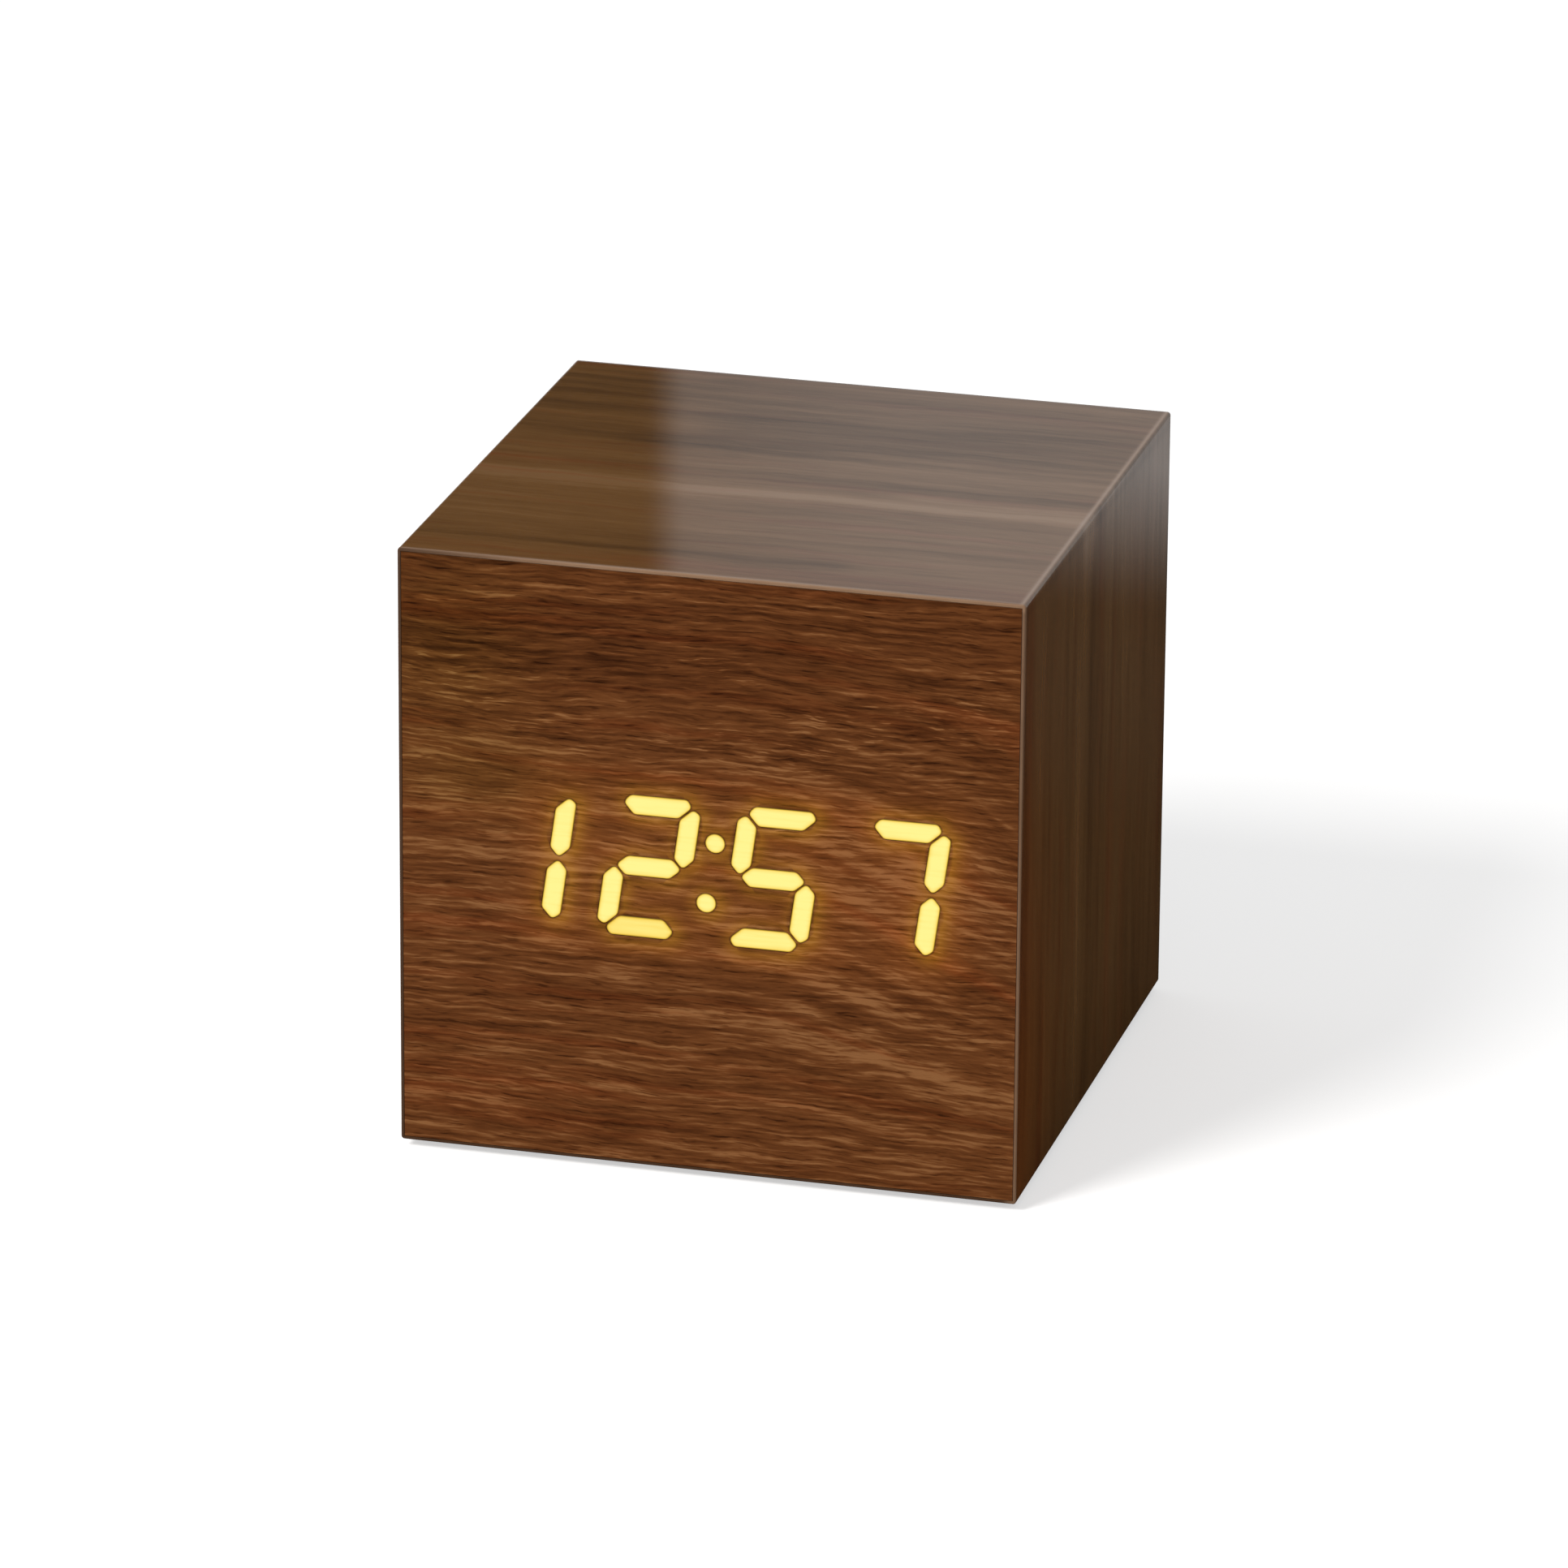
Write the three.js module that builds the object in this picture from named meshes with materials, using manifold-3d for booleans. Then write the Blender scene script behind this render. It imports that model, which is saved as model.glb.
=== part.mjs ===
// Wooden digital alarm clock: a cube of mitred boards wrapped in a wood-grain film, with lit digits.
// Millimetres, +Z up. The front looks along -Y and the origin lies under the feet, at their centre.

import * as THREE from 'three';
import { mergeVertices } from 'three/addons/utils/BufferGeometryUtils.js';
import Module from 'manifold-3d';

const wasm = await Module();
wasm.setup();

// Driving dimensions of the cube
const overallWidth = 60;
const overallDepth = 60;
const overallHeight = 60;
const boardThickness = 4;
const filmThickness = 0.3;
const filmFoldRadius = 0.6;
const filmSeam = 0.05;

// Feet
const footThickness = 0.8;
const footRadius = 4;
const footEdge = 0.25;
const footInset = 9;

// Digits: four slanted seven-bar digits with a pair of dots between the hours and the minutes
const digitCount = 4;
const digitHeight = 14.1;
const digitGap = 3.55;
const digitSlantDegrees = 8;
const barThickness = 1.95;
const barTipWidth = 0.3;
const barGap = 0.2;
const dotRadius = 0.95;
const dotSpacing = 6;
const displayOffsetX = 0.3;
const displayOffsetZ = 0.4;
const litBars = ['bc', 'abdeg', 'acdfg', 'abc'];

// Lens and reflector behind the digits
const islandClearance = 0.04;
const lensThickness = 0.4;
const reflectorMarginX = 0.6;
const reflectorMarginZ = 1.75;
const windowClearance = 0.4;
const flangeThickness = 1.5;
const flangeShoulderX = 1.18;
const flangeOverlapZ = 3.8;

// Circuit board behind the reflector, with a chip in a pocket of the reflector behind each bar
const ledBoardThickness = 1.2;
const ledBoardMargin = 5.3;
const chipLength = 1.6;
const chipWidth = 0.8;
const chipHeight = 0.6;
const chipPocketGap = 0.3;
const displayScrewInsetX = 5;
const displayScrewInsetZ = 2;

// Clock circuit, crystal and buzzer on the back of that board
const circuitLength = 10.3;
const circuitWidth = 7.5;
const circuitHeight = 2.4;
const circuitPinPitch = 1.27;
const circuitPinWidth = 0.4;
const circuitPinReach = 1.3;
const circuitPinHeight = 1.2;
const circuitPinsPerSide = 8;
const circuitOffsetX = 7.5;
const circuitInset = 9;
const crystalRadius = 1;
const crystalLength = 6;
const crystalInset = 2.5;
const buzzerRadius = 6;
const buzzerHeight = 8;
const buzzerRimWidth = 1;
const buzzerHoleRadius = 1;
const buzzerHoleDepth = 1.5;
const buzzerScrewGap = 2.3;
const buzzerInset = 8;

// Rear panel
const panelThickness = 2;
const panelRecess = 0.8;
const panelGap = 0.2;
const panelCornerRadius = 0.8;
const bottomBand = 7.4;
const slotCount = 7;
const slotWidth = 0.9;
const slotHeight = 3.4;
const slotPitch = 2;

// Battery bay: the cells lie side by side along X and fill the bay but for these gaps, which leave
// them 10.5 across and 44.5 long in a 60 cube
const cellCount = 3;
const cellGap = 0.5;
const cellNubRadius = 1.9;
const cellNubLength = 0.8;
const cellEdge = 0.4;
const cellSideClearance = 0.5;
const cellFloorClearance = 0.2;
const cellDoorClearance = 0.4;
const wellWall = 1.2;
const wellSideGap = 0.75;
const saddleThickness = 0.8;
const saddleHeight = 2.2;
const saddleLength = 30;

// Contacts and their conical springs
const contactThickness = 0.3;
const contactGap = 2.2;
const contactDoorGap = 2.65;
const tailWidth = 2;
const tailReach = 1.6;
const tailClearance = 0.3;
const springLength = 2.3;
const springWire = 0.44;
const springBaseShare = 0.65;
const springTipShare = 0.325;
const springTurns = 2.5;
const springSteps = 8;
const springSides = 5;
const springSamplesPerStep = 4;

// Battery door
const doorThickness = 1.5;
const doorGap = 0.3;
const doorLedge = 0.55;
const tongueWidth = 6;
const tongueThickness = 1;
const tongueDrop = 1.45;
const tongueRoot = 1.5;
const tongueLipGap = 0.2;
const tongueInset = 10;
const tongueSwingClearance = 1;
const latchWidth = 10;
const latchLength = 7;
const latchSlot = 0.7;
const latchCatch = 0.15;
const latchRidgeHeight = 0.3;
const latchRidgeWidth = 0.6;
const latchRidgePitch = 1.3;
const latchRidgeCount = 3;

// Corner blocks and screws
const blockSide = 5.8;
const blockLength = 12;
const screwShankRadius = 0.8;
const screwHeadRadius = 1.7;
const screwHeadHeight = 0.9;
const screwHeadEdge = 0.25;
const screwTip = 1;
const screwRadialGap = 0.1;
const screwHeadGap = 0.3;
const crossWidth = 0.5;
const crossLength = 2;
const crossDepth = 0.45;
const panelScrewLength = 8;
const displayScrewBite = 2.6;
const pilotSpare = 0.6;
const counterboreDepth = 1;

// Buttons, their switches and the small board that carries them. The power socket and the buttons
// share the row between the board's two bosses.
const buttonNames = ['button_set', 'button_up', 'button_down'];
const buttonSpacing = 0.8;
const buttonHoleGap = 0.25;
const buttonProud = 0.6;
const buttonEdge = 0.4;
const buttonDish = 0.25;
const buttonFlangeStep = 0.7;
const buttonFlangeThickness = 0.8;
const buttonFlangeGap = 0.2;
const switchSpacing = 2.5;
const switchBossGap = 1.55;
const switchHeight = 3.3;
const switchCavityDepth = 1.6;
const stemRadiusShare = 0.29;
const stemLength = 2;
const stemGap = 0.2;
const stemProud = 1.2;
const keyBoardDepth = 5.6;
const keyBoardThickness = 1.2;
const keyBoardMargin = 0.3;
const keyBoardSideGap = 0.5;
const keyBossRadius = 1.9;
const keyBossInset = 2.2;
const keyScrewLength = 5;
const keyScrewHeadRadius = 1.6;
const keyBandGap = 0.75;

// Power socket
const socketBossGap = 0.8;
const socketButtonGap = 2.75;
const socketShoulder = 0.5;
const socketWall = 1.1;
const socketBoreDepth = 6.5;
const socketPinShare = 0.316;
const socketPinSetback = 1;
const socketHoleGap = 0.2;
const socketFaceSetback = 0.1;

// Wires inside
const wireRadius = 0.6;
const wireLead = 1.5;
const wireSteps = 18;
const ribbonWidth = 8;
const ribbonThickness = 0.9;
const ribbonSteps = 24;
const ribbonSag = 9;
const ribbonLead = 3;
const headerWidth = 10;
const headerHeight = 5;
const headerDepth = 4.5;
const headerInset = 3.5;

// Small working values
const seatGap = 0.05;
const cutOverrun = 1;
const weldDistance = 0.0001;
const roundSides = 24;
const screwSides = 14;
const smallSides = 12;
const wireSides = 8;
const cornerSteps = 4;

// Planes that several pieces share
const halfWidth = overallWidth / 2;
const halfDepth = overallDepth / 2;
const frontFace = -halfDepth;
const rearFace = halfDepth;
const boardOuterX = halfWidth - filmThickness;
const boardInnerX = boardOuterX - boardThickness;
const boardOuterBottom = footThickness + filmThickness;
const boardInnerBottom = boardOuterBottom + boardThickness;
const boardOuterTop = overallHeight - filmThickness;
const boardInnerTop = boardOuterTop - boardThickness;
const boardOuterFront = frontFace + filmThickness;
const boardInnerFront = boardOuterFront + boardThickness;
const panelOuter = rearFace - panelRecess;
const panelInner = panelOuter - panelThickness;

// Display, whose flange reaches from side to side. The reflector steps in from it, and the digits
// share the reflector's width.
const displayX = displayOffsetX;
const displayZ = (footThickness + overallHeight) / 2 + displayOffsetZ;
const flangeHalfX = boardInnerX - windowClearance - Math.abs(displayOffsetX);
const reflectorHalfX = flangeHalfX - flangeShoulderX;
const reflectorHalfZ = digitHeight / 2 + reflectorMarginZ;
const flangeHalfZ = reflectorHalfZ + windowClearance + flangeOverlapZ;
const slant = Math.tan(THREE.MathUtils.degToRad(digitSlantDegrees));
const digitRowWidth = 2 * (reflectorHalfX - reflectorMarginX) - slant * digitHeight;
const digitPitch = (digitRowWidth + digitGap) / digitCount;
const digitWidth = digitPitch - digitGap;
const columnHalf = (digitWidth - barThickness) / 2;
const rowStep = (digitHeight - barThickness) / 2;
const displayScrewX = flangeHalfX - displayScrewInsetX;
const displayScrewZ = flangeHalfZ - displayScrewInsetZ;
const ledBoardBottom = boardInnerBottom + ledBoardMargin + displayOffsetZ;
const ledBoardTop = boardInnerTop - ledBoardMargin + displayOffsetZ;

// Display stack, from the front to the back
const lensFront = boardOuterFront + seatGap;
const lensBack = lensFront + lensThickness;
const reflectorFront = lensBack + seatGap;
const flangeFront = boardInnerFront + seatGap;
const flangeBack = flangeFront + flangeThickness;
const ledBoardFront = flangeBack + seatGap;
const ledBoardBack = ledBoardFront + ledBoardThickness;

// Key row: the socket takes one pitch of it and each button another
const keyBoardHalfWidth = boardInnerX - blockSide - keyBoardSideGap;
const keyBossOffset = keyBoardHalfWidth - keyBossInset;
const keyRowHalf = keyBossOffset - keyBossRadius;
const keyRowGaps = socketBossGap + socketButtonGap + switchBossGap - switchSpacing;
const buttonPitch = (2 * keyRowHalf - keyRowGaps) / (buttonNames.length + 1);
const buttonFlangeRadius = (buttonPitch - buttonSpacing) / 2;
const buttonRadius = buttonFlangeRadius - buttonFlangeStep;
const switchSide = buttonPitch - switchSpacing;
const stemRadius = switchSide * stemRadiusShare;
const buttonRowStart = keyRowHalf - switchBossGap - switchSide / 2;
const socketSide = buttonPitch;
const socketOffsetX = socketBossGap + socketSide / 2 - keyRowHalf;
const socketNoseRadius = socketSide / 2 - socketShoulder;
const socketBoreRadius = socketNoseRadius - socketWall;
const socketPinRadius = socketBoreRadius * socketPinShare;
const keyBoardFront = panelInner - keyBoardDepth;
const keyBoardBack = keyBoardFront - keyBoardThickness;
const keyBandBottom = boardInnerTop - socketSide - 2 * keyBandGap;
const keyRowZ = (keyBandBottom + boardInnerTop) / 2;

// Battery bay between the key row and the band below it, with its cells and its door
const wellBottom = boardInnerBottom + bottomBand;
const wellTop = keyBandBottom - wellWall;
const wellHalfLength = boardInnerX - wellSideGap - wellWall;
const cellStack = wellTop - wellBottom - 2 * cellSideClearance;
const cellPitch = (cellStack + cellGap) / cellCount;
const cellRadius = (cellPitch - cellGap) / 2;
const cellLength = 2 * (wellHalfLength - contactThickness - seatGap) - springLength;
const doorInner = panelOuter - doorThickness;
const ledgeLevel = doorInner - cellFloorClearance;
const cellAxisY = doorInner - cellDoorClearance - cellRadius;
const wellFloorTop = cellAxisY - cellRadius - cellFloorClearance;
const wellFloorBack = wellFloorTop - wellWall;
const contactWidth = cellPitch - contactGap;
const springBaseRadius = cellRadius * springBaseShare;
const springTipRadius = cellRadius * springTipShare;
const doorBottom = wellBottom - doorLedge + doorGap;
const doorTop = wellTop + doorLedge - doorGap;
const doorHalfWidth = wellHalfLength + doorLedge - doorGap;
const tongueOffset = doorHalfWidth - tongueInset;

// Panel's outline and screws
const panelHalfWidth = boardInnerX - panelGap;
const panelBottom = boardInnerBottom + panelGap;
const panelTop = boardInnerTop - panelGap;
const panelScrewX = boardInnerX - blockSide / 2;
const panelScrewZ = [boardInnerBottom + blockSide / 2, boardInnerTop - blockSide / 2];

// Finishes
const finish = (color, roughness, metalness = 0, extra = {}) =>
  new THREE.MeshStandardMaterial({ color, roughness, metalness, flatShading: true, ...extra });
const finishes = {
  film: () => finish(0x4a3220, 0.55),
  boards: () => finish(0x8a6a4a, 0.9),
  rubber: () => finish(0x222222, 0.9),
  lens: () => finish(0xfff08a, 0.4, 0, { emissive: 0xffe860, emissiveIntensity: 1 }),
  whitePlastic: () => finish(0xe8e6df, 0.6),
  blackPlastic: () => finish(0x17171a, 0.5),
  circuitBoard: () => finish(0x1d4a2a, 0.5),
  chip: () => finish(0x15151a, 0.6),
  steel: () => finish(0xb4b6ba, 0.35, 1),
  spring: () => finish(0xc8c8c4, 0.3, 1),
  cellWrap: () => finish(0x2c5a40, 0.4, 0.2),
  redWire: () => finish(0xa01818, 0.5),
  blackWire: () => finish(0x101010, 0.5),
  ribbon: () => finish(0xb0b0ae, 0.55),
};

// Extrusion frames: where the outline's two axes and the length go in space
const axisX = new THREE.Vector3(1, 0, 0);
const axisY = new THREE.Vector3(0, 1, 0);
const axisZ = new THREE.Vector3(0, 0, 1);
const frames = {
  x: new THREE.Matrix4().makeBasis(axisY, axisZ, axisX),
  y: new THREE.Matrix4().makeBasis(axisX, axisZ, axisY.clone().negate()),
  z: new THREE.Matrix4(),
};

function block([x0, x1], [y0, y1], [z0, z1]) {
  const geometry = new THREE.BoxGeometry(x1 - x0, y1 - y0, z1 - z0);
  return geometry.translate((x0 + x1) / 2, (y0 + y1) / 2, (z0 + z1) / 2);
}

// An outline in (Y, Z), (X, Z) or (X, Y), carried along X, Y or Z from low to high
function extrude(shape, axis, low, high) {
  const settings = { depth: high - low, bevelEnabled: false, curveSegments: cornerSteps };
  const geometry = new THREE.ExtrudeGeometry(shape, settings).applyMatrix4(frames[axis]);
  const start = { x: axisX, y: axisY, z: axisZ }[axis].clone().multiplyScalar(axis === 'y' ? high : low);
  return geometry.translate(start.x, start.y, start.z);
}

// A turned piece on an axis along Y: each profile point is a radius and a place on that axis
function turned(profile, sides, x = 0, z = 0) {
  const points = profile.map(([radius, y]) => new THREE.Vector2(radius, y));
  return new THREE.LatheGeometry(points, sides).translate(x, 0, z);
}

function rod(radius, y0, y1, sides, x, z) {
  return turned([[0, y0], [radius, y0], [radius, y1], [0, y1]], sides, x, z);
}

function rectangle(halfX, halfZ, x = 0, z = 0) {
  const corners = [[-halfX, -halfZ], [halfX, -halfZ], [halfX, halfZ], [-halfX, halfZ]];
  return corners.map(([u, v]) => [x + u, z + v]);
}

function shapeOf(points) {
  return new THREE.Shape(points.map(([u, v]) => new THREE.Vector2(u, v)));
}

function roundedRectangle(x0, x1, z0, z1, radius) {
  const shape = new THREE.Shape();
  shape.moveTo(x0 + radius, z0);
  shape.lineTo(x1 - radius, z0);
  shape.absarc(x1 - radius, z0 + radius, radius, -Math.PI / 2, 0, false);
  shape.absarc(x1 - radius, z1 - radius, radius, 0, Math.PI / 2, false);
  shape.absarc(x0 + radius, z1 - radius, radius, Math.PI / 2, Math.PI, false);
  shape.absarc(x0 + radius, z0 + radius, radius, Math.PI, 1.5 * Math.PI, false);
  return shape;
}

// A closed body between rings of equally many points, flat at both ends. The rings run anticlockwise
// as seen from outside the first one.
function loft(rings) {
  const count = rings[0].length;
  const triangles = [];
  for (let ring = 0; ring + 1 < rings.length; ring += 1) {
    for (let side = 0; side < count; side += 1) {
      const a = ring * count + side;
      const b = ring * count + (side + 1) % count;
      triangles.push(a, b + count, b, a, a + count, b + count);
    }
  }
  const last = (rings.length - 1) * count;
  for (let side = 1; side + 1 < count; side += 1) {
    triangles.push(0, side, side + 1, last, last + side + 1, last + side);
  }
  const geometry = new THREE.BufferGeometry();
  geometry.setAttribute('position', new THREE.Float32BufferAttribute(rings.flat(2), 3));
  geometry.setIndex(triangles);
  return geometry;
}

// Boolean work: a geometry becomes a solid, solids are joined or cut, and the result a geometry again
function toSolid(geometry) {
  const bare = geometry.clone();
  bare.deleteAttribute('normal');
  bare.deleteAttribute('uv');
  const merged = mergeVertices(bare, weldDistance);
  const corners = merged.index.array;
  const kept = [];
  for (let i = 0; i < corners.length; i += 3) {
    const [a, b, c] = [corners[i], corners[i + 1], corners[i + 2]];
    if (a !== b && b !== c && c !== a) {
      kept.push(a, b, c);
    }
  }
  const vertProperties = new Float32Array(merged.attributes.position.array);
  return new wasm.Manifold(new wasm.Mesh({ numProp: 3, vertProperties, triVerts: new Uint32Array(kept) }));
}

function toGeometry(solid) {
  const { vertProperties, triVerts } = solid.getMesh();
  const geometry = new THREE.BufferGeometry();
  geometry.setAttribute('position', new THREE.BufferAttribute(new Float32Array(vertProperties), 3));
  geometry.setIndex(new THREE.BufferAttribute(new Uint32Array(triVerts), 1));
  return geometry;
}

const joined = (...geometries) => geometries.map(toSolid).reduce((sum, next) => sum.add(next));
const cutBy = (solid, ...tools) => tools.map(toSolid).reduce((rest, tool) => rest.subtract(tool), solid);

// Case: four walls and a front of one board, mitred where they fold
function caseRing(x, bottom, top, y) {
  return [[-x, y, bottom], [x, y, bottom], [x, y, top], [-x, y, top]];
}

function caseWall(first, second) {
  const outer = caseRing(boardOuterX, boardOuterBottom, boardOuterTop, boardOuterFront);
  const inner = caseRing(boardInnerX, boardInnerBottom, boardInnerTop, boardInnerFront);
  const front = [outer[first], outer[second], inner[second], inner[first]];
  const rear = front.map(([x, , z]) => [x, rearFace, z]);
  return loft([front, rear]);
}

function caseFrontBoard() {
  const outer = caseRing(boardOuterX, boardOuterBottom, boardOuterTop, boardOuterFront);
  const inner = caseRing(boardInnerX, boardInnerBottom, boardInnerTop, boardInnerFront);
  const opening = block(
    [displayX - reflectorHalfX - windowClearance, displayX + reflectorHalfX + windowClearance],
    [boardOuterFront - cutOverrun, boardInnerFront + cutOverrun],
    [displayZ - reflectorHalfZ - windowClearance, displayZ + reflectorHalfZ + windowClearance],
  );
  const pilotEnd = boardInnerFront - displayScrewBite - pilotSpare;
  const pilots = displayScrewPlaces().map(([x, z]) =>
    rod(screwShankRadius + screwRadialGap, pilotEnd, boardInnerFront + cutOverrun, smallSides, x, z));
  return toGeometry(cutBy(toSolid(loft([outer, inner])), opening, ...pilots));
}

function grainFilmWrap() {
  const outline = roundedRectangle(-halfWidth, halfWidth, footThickness, overallHeight, filmFoldRadius);
  outline.holes.push(shapeOf(rectangle(
    boardOuterX, (boardOuterTop - boardOuterBottom) / 2, 0, (boardOuterTop + boardOuterBottom) / 2)));
  return extrude(outline, 'y', frontFace, rearFace);
}

function cornerBlock(sideX, sideZ) {
  const x = [sideX * (boardInnerX - blockSide), sideX * boardInnerX].sort((a, b) => a - b);
  const edge = sideZ > 0 ? boardInnerTop : boardInnerBottom;
  const z = [edge - sideZ * blockSide, edge].sort((a, b) => a - b);
  const y1 = panelInner - seatGap;
  const solid = toSolid(block(x, [y1 - blockLength, y1], z));
  const pilot = rod(screwShankRadius + screwRadialGap, y1 - panelScrewLength, y1 + cutOverrun, smallSides,
    sideX * panelScrewX, panelScrewZ[sideZ > 0 ? 1 : 0]);
  return toGeometry(cutBy(solid, pilot));
}

function foot(sideX, sideY) {
  const profile = [[0, 0], [footRadius - footEdge, 0], [footRadius, footEdge], [footRadius, footThickness],
    [0, footThickness]];
  const geometry = turned(profile, roundSides).rotateX(Math.PI / 2);
  return geometry.translate(sideX * (halfWidth - footInset), sideY * (halfDepth - footInset), 0);
}

// Digits: a bar is a long bead with 45 degree tips, blunted a little, and a digit has seven of them.
// The length runs to where the tips would come to a point.
function barOutline(length, thickness, upright) {
  const tip = barTipWidth / 2;
  const end = length / 2 - tip;
  const shoulder = length / 2 - thickness / 2;
  const points = [[-end, -tip], [-shoulder, -thickness / 2], [shoulder, -thickness / 2], [end, -tip],
    [end, tip], [shoulder, thickness / 2], [-shoulder, thickness / 2], [-end, tip]];
  return upright ? points.map(([u, v]) => [-v, u]) : points;
}

const tipSetback = barGap * Math.SQRT1_2;
const barPlaces = {
  a: { x: 0, z: rowStep, upright: false },
  b: { x: columnHalf, z: rowStep / 2, upright: true },
  c: { x: columnHalf, z: -rowStep / 2, upright: true },
  d: { x: 0, z: -rowStep, upright: false },
  e: { x: -columnHalf, z: -rowStep / 2, upright: true },
  f: { x: -columnHalf, z: rowStep / 2, upright: true },
  g: { x: 0, z: 0, upright: false },
};

const digitCentre = (digit) => (digit - (digitCount - 1) / 2) * digitPitch;
const leaning = (points) => points.map(([u, v]) => [displayX + u + v * slant, displayZ + v]);

// An outline drawn about the origin, set down at a bar's place and leaned with the digit
function atBar(digit, name, outline) {
  const { x, z } = barPlaces[name];
  return leaning(outline.map(([u, v]) => [digitCentre(digit) + x + u, z + v]));
}

function barOnFace(digit, name, grow) {
  const { upright } = barPlaces[name];
  const length = (upright ? rowStep : 2 * columnHalf) - 2 * tipSetback + 2 * grow * Math.SQRT2;
  return atBar(digit, name, barOutline(length, barThickness + 2 * grow, upright));
}

// The pocket round a bar's chip, whose 45 degree ends also clear the chip's corners
function chipPocket(digit, name) {
  const width = chipWidth + 2 * chipPocketGap;
  return atBar(digit, name, barOutline(chipLength + width, width, barPlaces[name].upright));
}

function dotOnFace(side, radius) {
  const [[x, z]] = leaning([[0, side * dotSpacing / 2]]);
  const points = [];
  for (let step = 0; step < smallSides; step += 1) {
    const angle = 2 * Math.PI * step / smallSides;
    points.push([x + radius * Math.cos(angle), z + radius * Math.sin(angle)]);
  }
  return points;
}

function litOutlines(grow) {
  const bars = litBars.flatMap((names, digit) => [...names].map((name) => barOnFace(digit, name, grow)));
  return [...bars, dotOnFace(-1, dotRadius + grow), dotOnFace(1, dotRadius + grow)];
}

function frontFilm() {
  const halfX = boardOuterX - filmSeam;
  const halfZ = (boardOuterTop - boardOuterBottom) / 2 - filmSeam;
  const outline = shapeOf(rectangle(halfX, halfZ, 0, (boardOuterTop + boardOuterBottom) / 2));
  outline.holes.push(...litOutlines(islandClearance).map(shapeOf));
  return extrude(outline, 'y', frontFace, boardOuterFront);
}

function displayLens() {
  const sheet = shapeOf(rectangle(reflectorHalfX, reflectorHalfZ, displayX, displayZ));
  const rootLevel = (lensFront + lensBack) / 2;
  const islands = litOutlines(0).map((outline) => extrude(shapeOf(outline), 'y', frontFace, rootLevel));
  return toGeometry(joined(extrude(sheet, 'y', lensFront, lensBack), ...islands));
}

// Each light cell narrows from the bar's full outline at the front to a pocket round its chip
function lightCell(front, rear) {
  const y0 = reflectorFront - cutOverrun;
  const y1 = flangeBack + cutOverrun;
  return loft([front.map(([x, z]) => [x, y0, z]), rear.map(([x, z]) => [x, y1, z])]);
}

function lightCells() {
  const cells = [];
  for (let digit = 0; digit < digitCount; digit += 1) {
    for (const name of Object.keys(barPlaces)) {
      cells.push(lightCell(barOnFace(digit, name, 0), chipPocket(digit, name)));
    }
  }
  for (const side of [-1, 1]) {
    cells.push(lightCell(dotOnFace(side, dotRadius), dotOnFace(side, dotRadius)));
  }
  return cells;
}

function displayScrewPlaces() {
  const places = [];
  for (const sideZ of [-1, 1]) {
    for (const sideX of [-1, 1]) {
      places.push([displayX + sideX * displayScrewX, displayZ + sideZ * displayScrewZ]);
    }
  }
  return places;
}

function displayReflector() {
  const body = shapeOf(rectangle(reflectorHalfX, reflectorHalfZ, displayX, displayZ));
  const flange = shapeOf(rectangle(flangeHalfX, flangeHalfZ, displayX, displayZ));
  const solid = joined(extrude(body, 'y', reflectorFront, flangeBack),
    extrude(flange, 'y', flangeFront, flangeBack));
  const holes = displayScrewPlaces().map(([x, z]) => rod(screwShankRadius + screwRadialGap,
    flangeFront - cutOverrun, flangeBack + cutOverrun, smallSides, x, z));
  return toGeometry(cutBy(solid, ...lightCells(), ...holes));
}

function ledChip(x, z, upright) {
  const halfX = (upright ? chipWidth : chipLength) / 2;
  const halfZ = (upright ? chipLength : chipWidth) / 2;
  const root = (ledBoardFront + ledBoardBack) / 2;
  return block([x - halfX, x + halfX], [ledBoardFront - chipHeight, root], [z - halfZ, z + halfZ]);
}

function ledBoard() {
  const sheet = block([displayX - flangeHalfX, displayX + flangeHalfX], [ledBoardFront, ledBoardBack],
    [ledBoardBottom, ledBoardTop]);
  const chips = [];
  for (let digit = 0; digit < digitCount; digit += 1) {
    for (const { x, z, upright } of Object.values(barPlaces)) {
      const [[u, v]] = leaning([[digitCentre(digit) + x, z]]);
      chips.push(ledChip(u, v, upright));
    }
  }
  for (const side of [-1, 1]) {
    const [[u, v]] = leaning([[0, side * dotSpacing / 2]]);
    chips.push(ledChip(u, v, true));
  }
  const holes = displayScrewPlaces().map(([x, z]) => rod(screwShankRadius + screwRadialGap,
    ledBoardFront - cutOverrun, ledBoardBack + cutOverrun, smallSides, x, z));
  return toGeometry(cutBy(joined(sheet, ...chips), ...holes));
}

// A screw along Y: its head's bearing face lies at seat, and it points towards -Y or +Y
function screw(x, z, seat, direction, length, headRadius) {
  const profile = [[0, -length], [screwShankRadius, screwTip - length], [screwShankRadius, 0],
    [headRadius, 0], [headRadius, screwHeadHeight - screwHeadEdge],
    [headRadius - screwHeadEdge, screwHeadHeight], [0, screwHeadHeight]];
  const solid = toSolid(turned(profile, screwSides));
  const depth = [screwHeadHeight - crossDepth, screwHeadHeight + cutOverrun];
  const long = [-crossLength / 2, crossLength / 2];
  const narrow = [-crossWidth / 2, crossWidth / 2];
  const geometry = toGeometry(cutBy(solid, block(long, depth, narrow), block(narrow, depth, long)));
  if (direction > 0) {
    geometry.rotateX(Math.PI);
  }
  return geometry.translate(x, seat, z);
}

function displayScrew(x, z) {
  const length = ledBoardBack + seatGap - boardInnerFront + displayScrewBite;
  return screw(x, z, ledBoardBack + seatGap, -1, length, screwHeadRadius);
}

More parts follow.
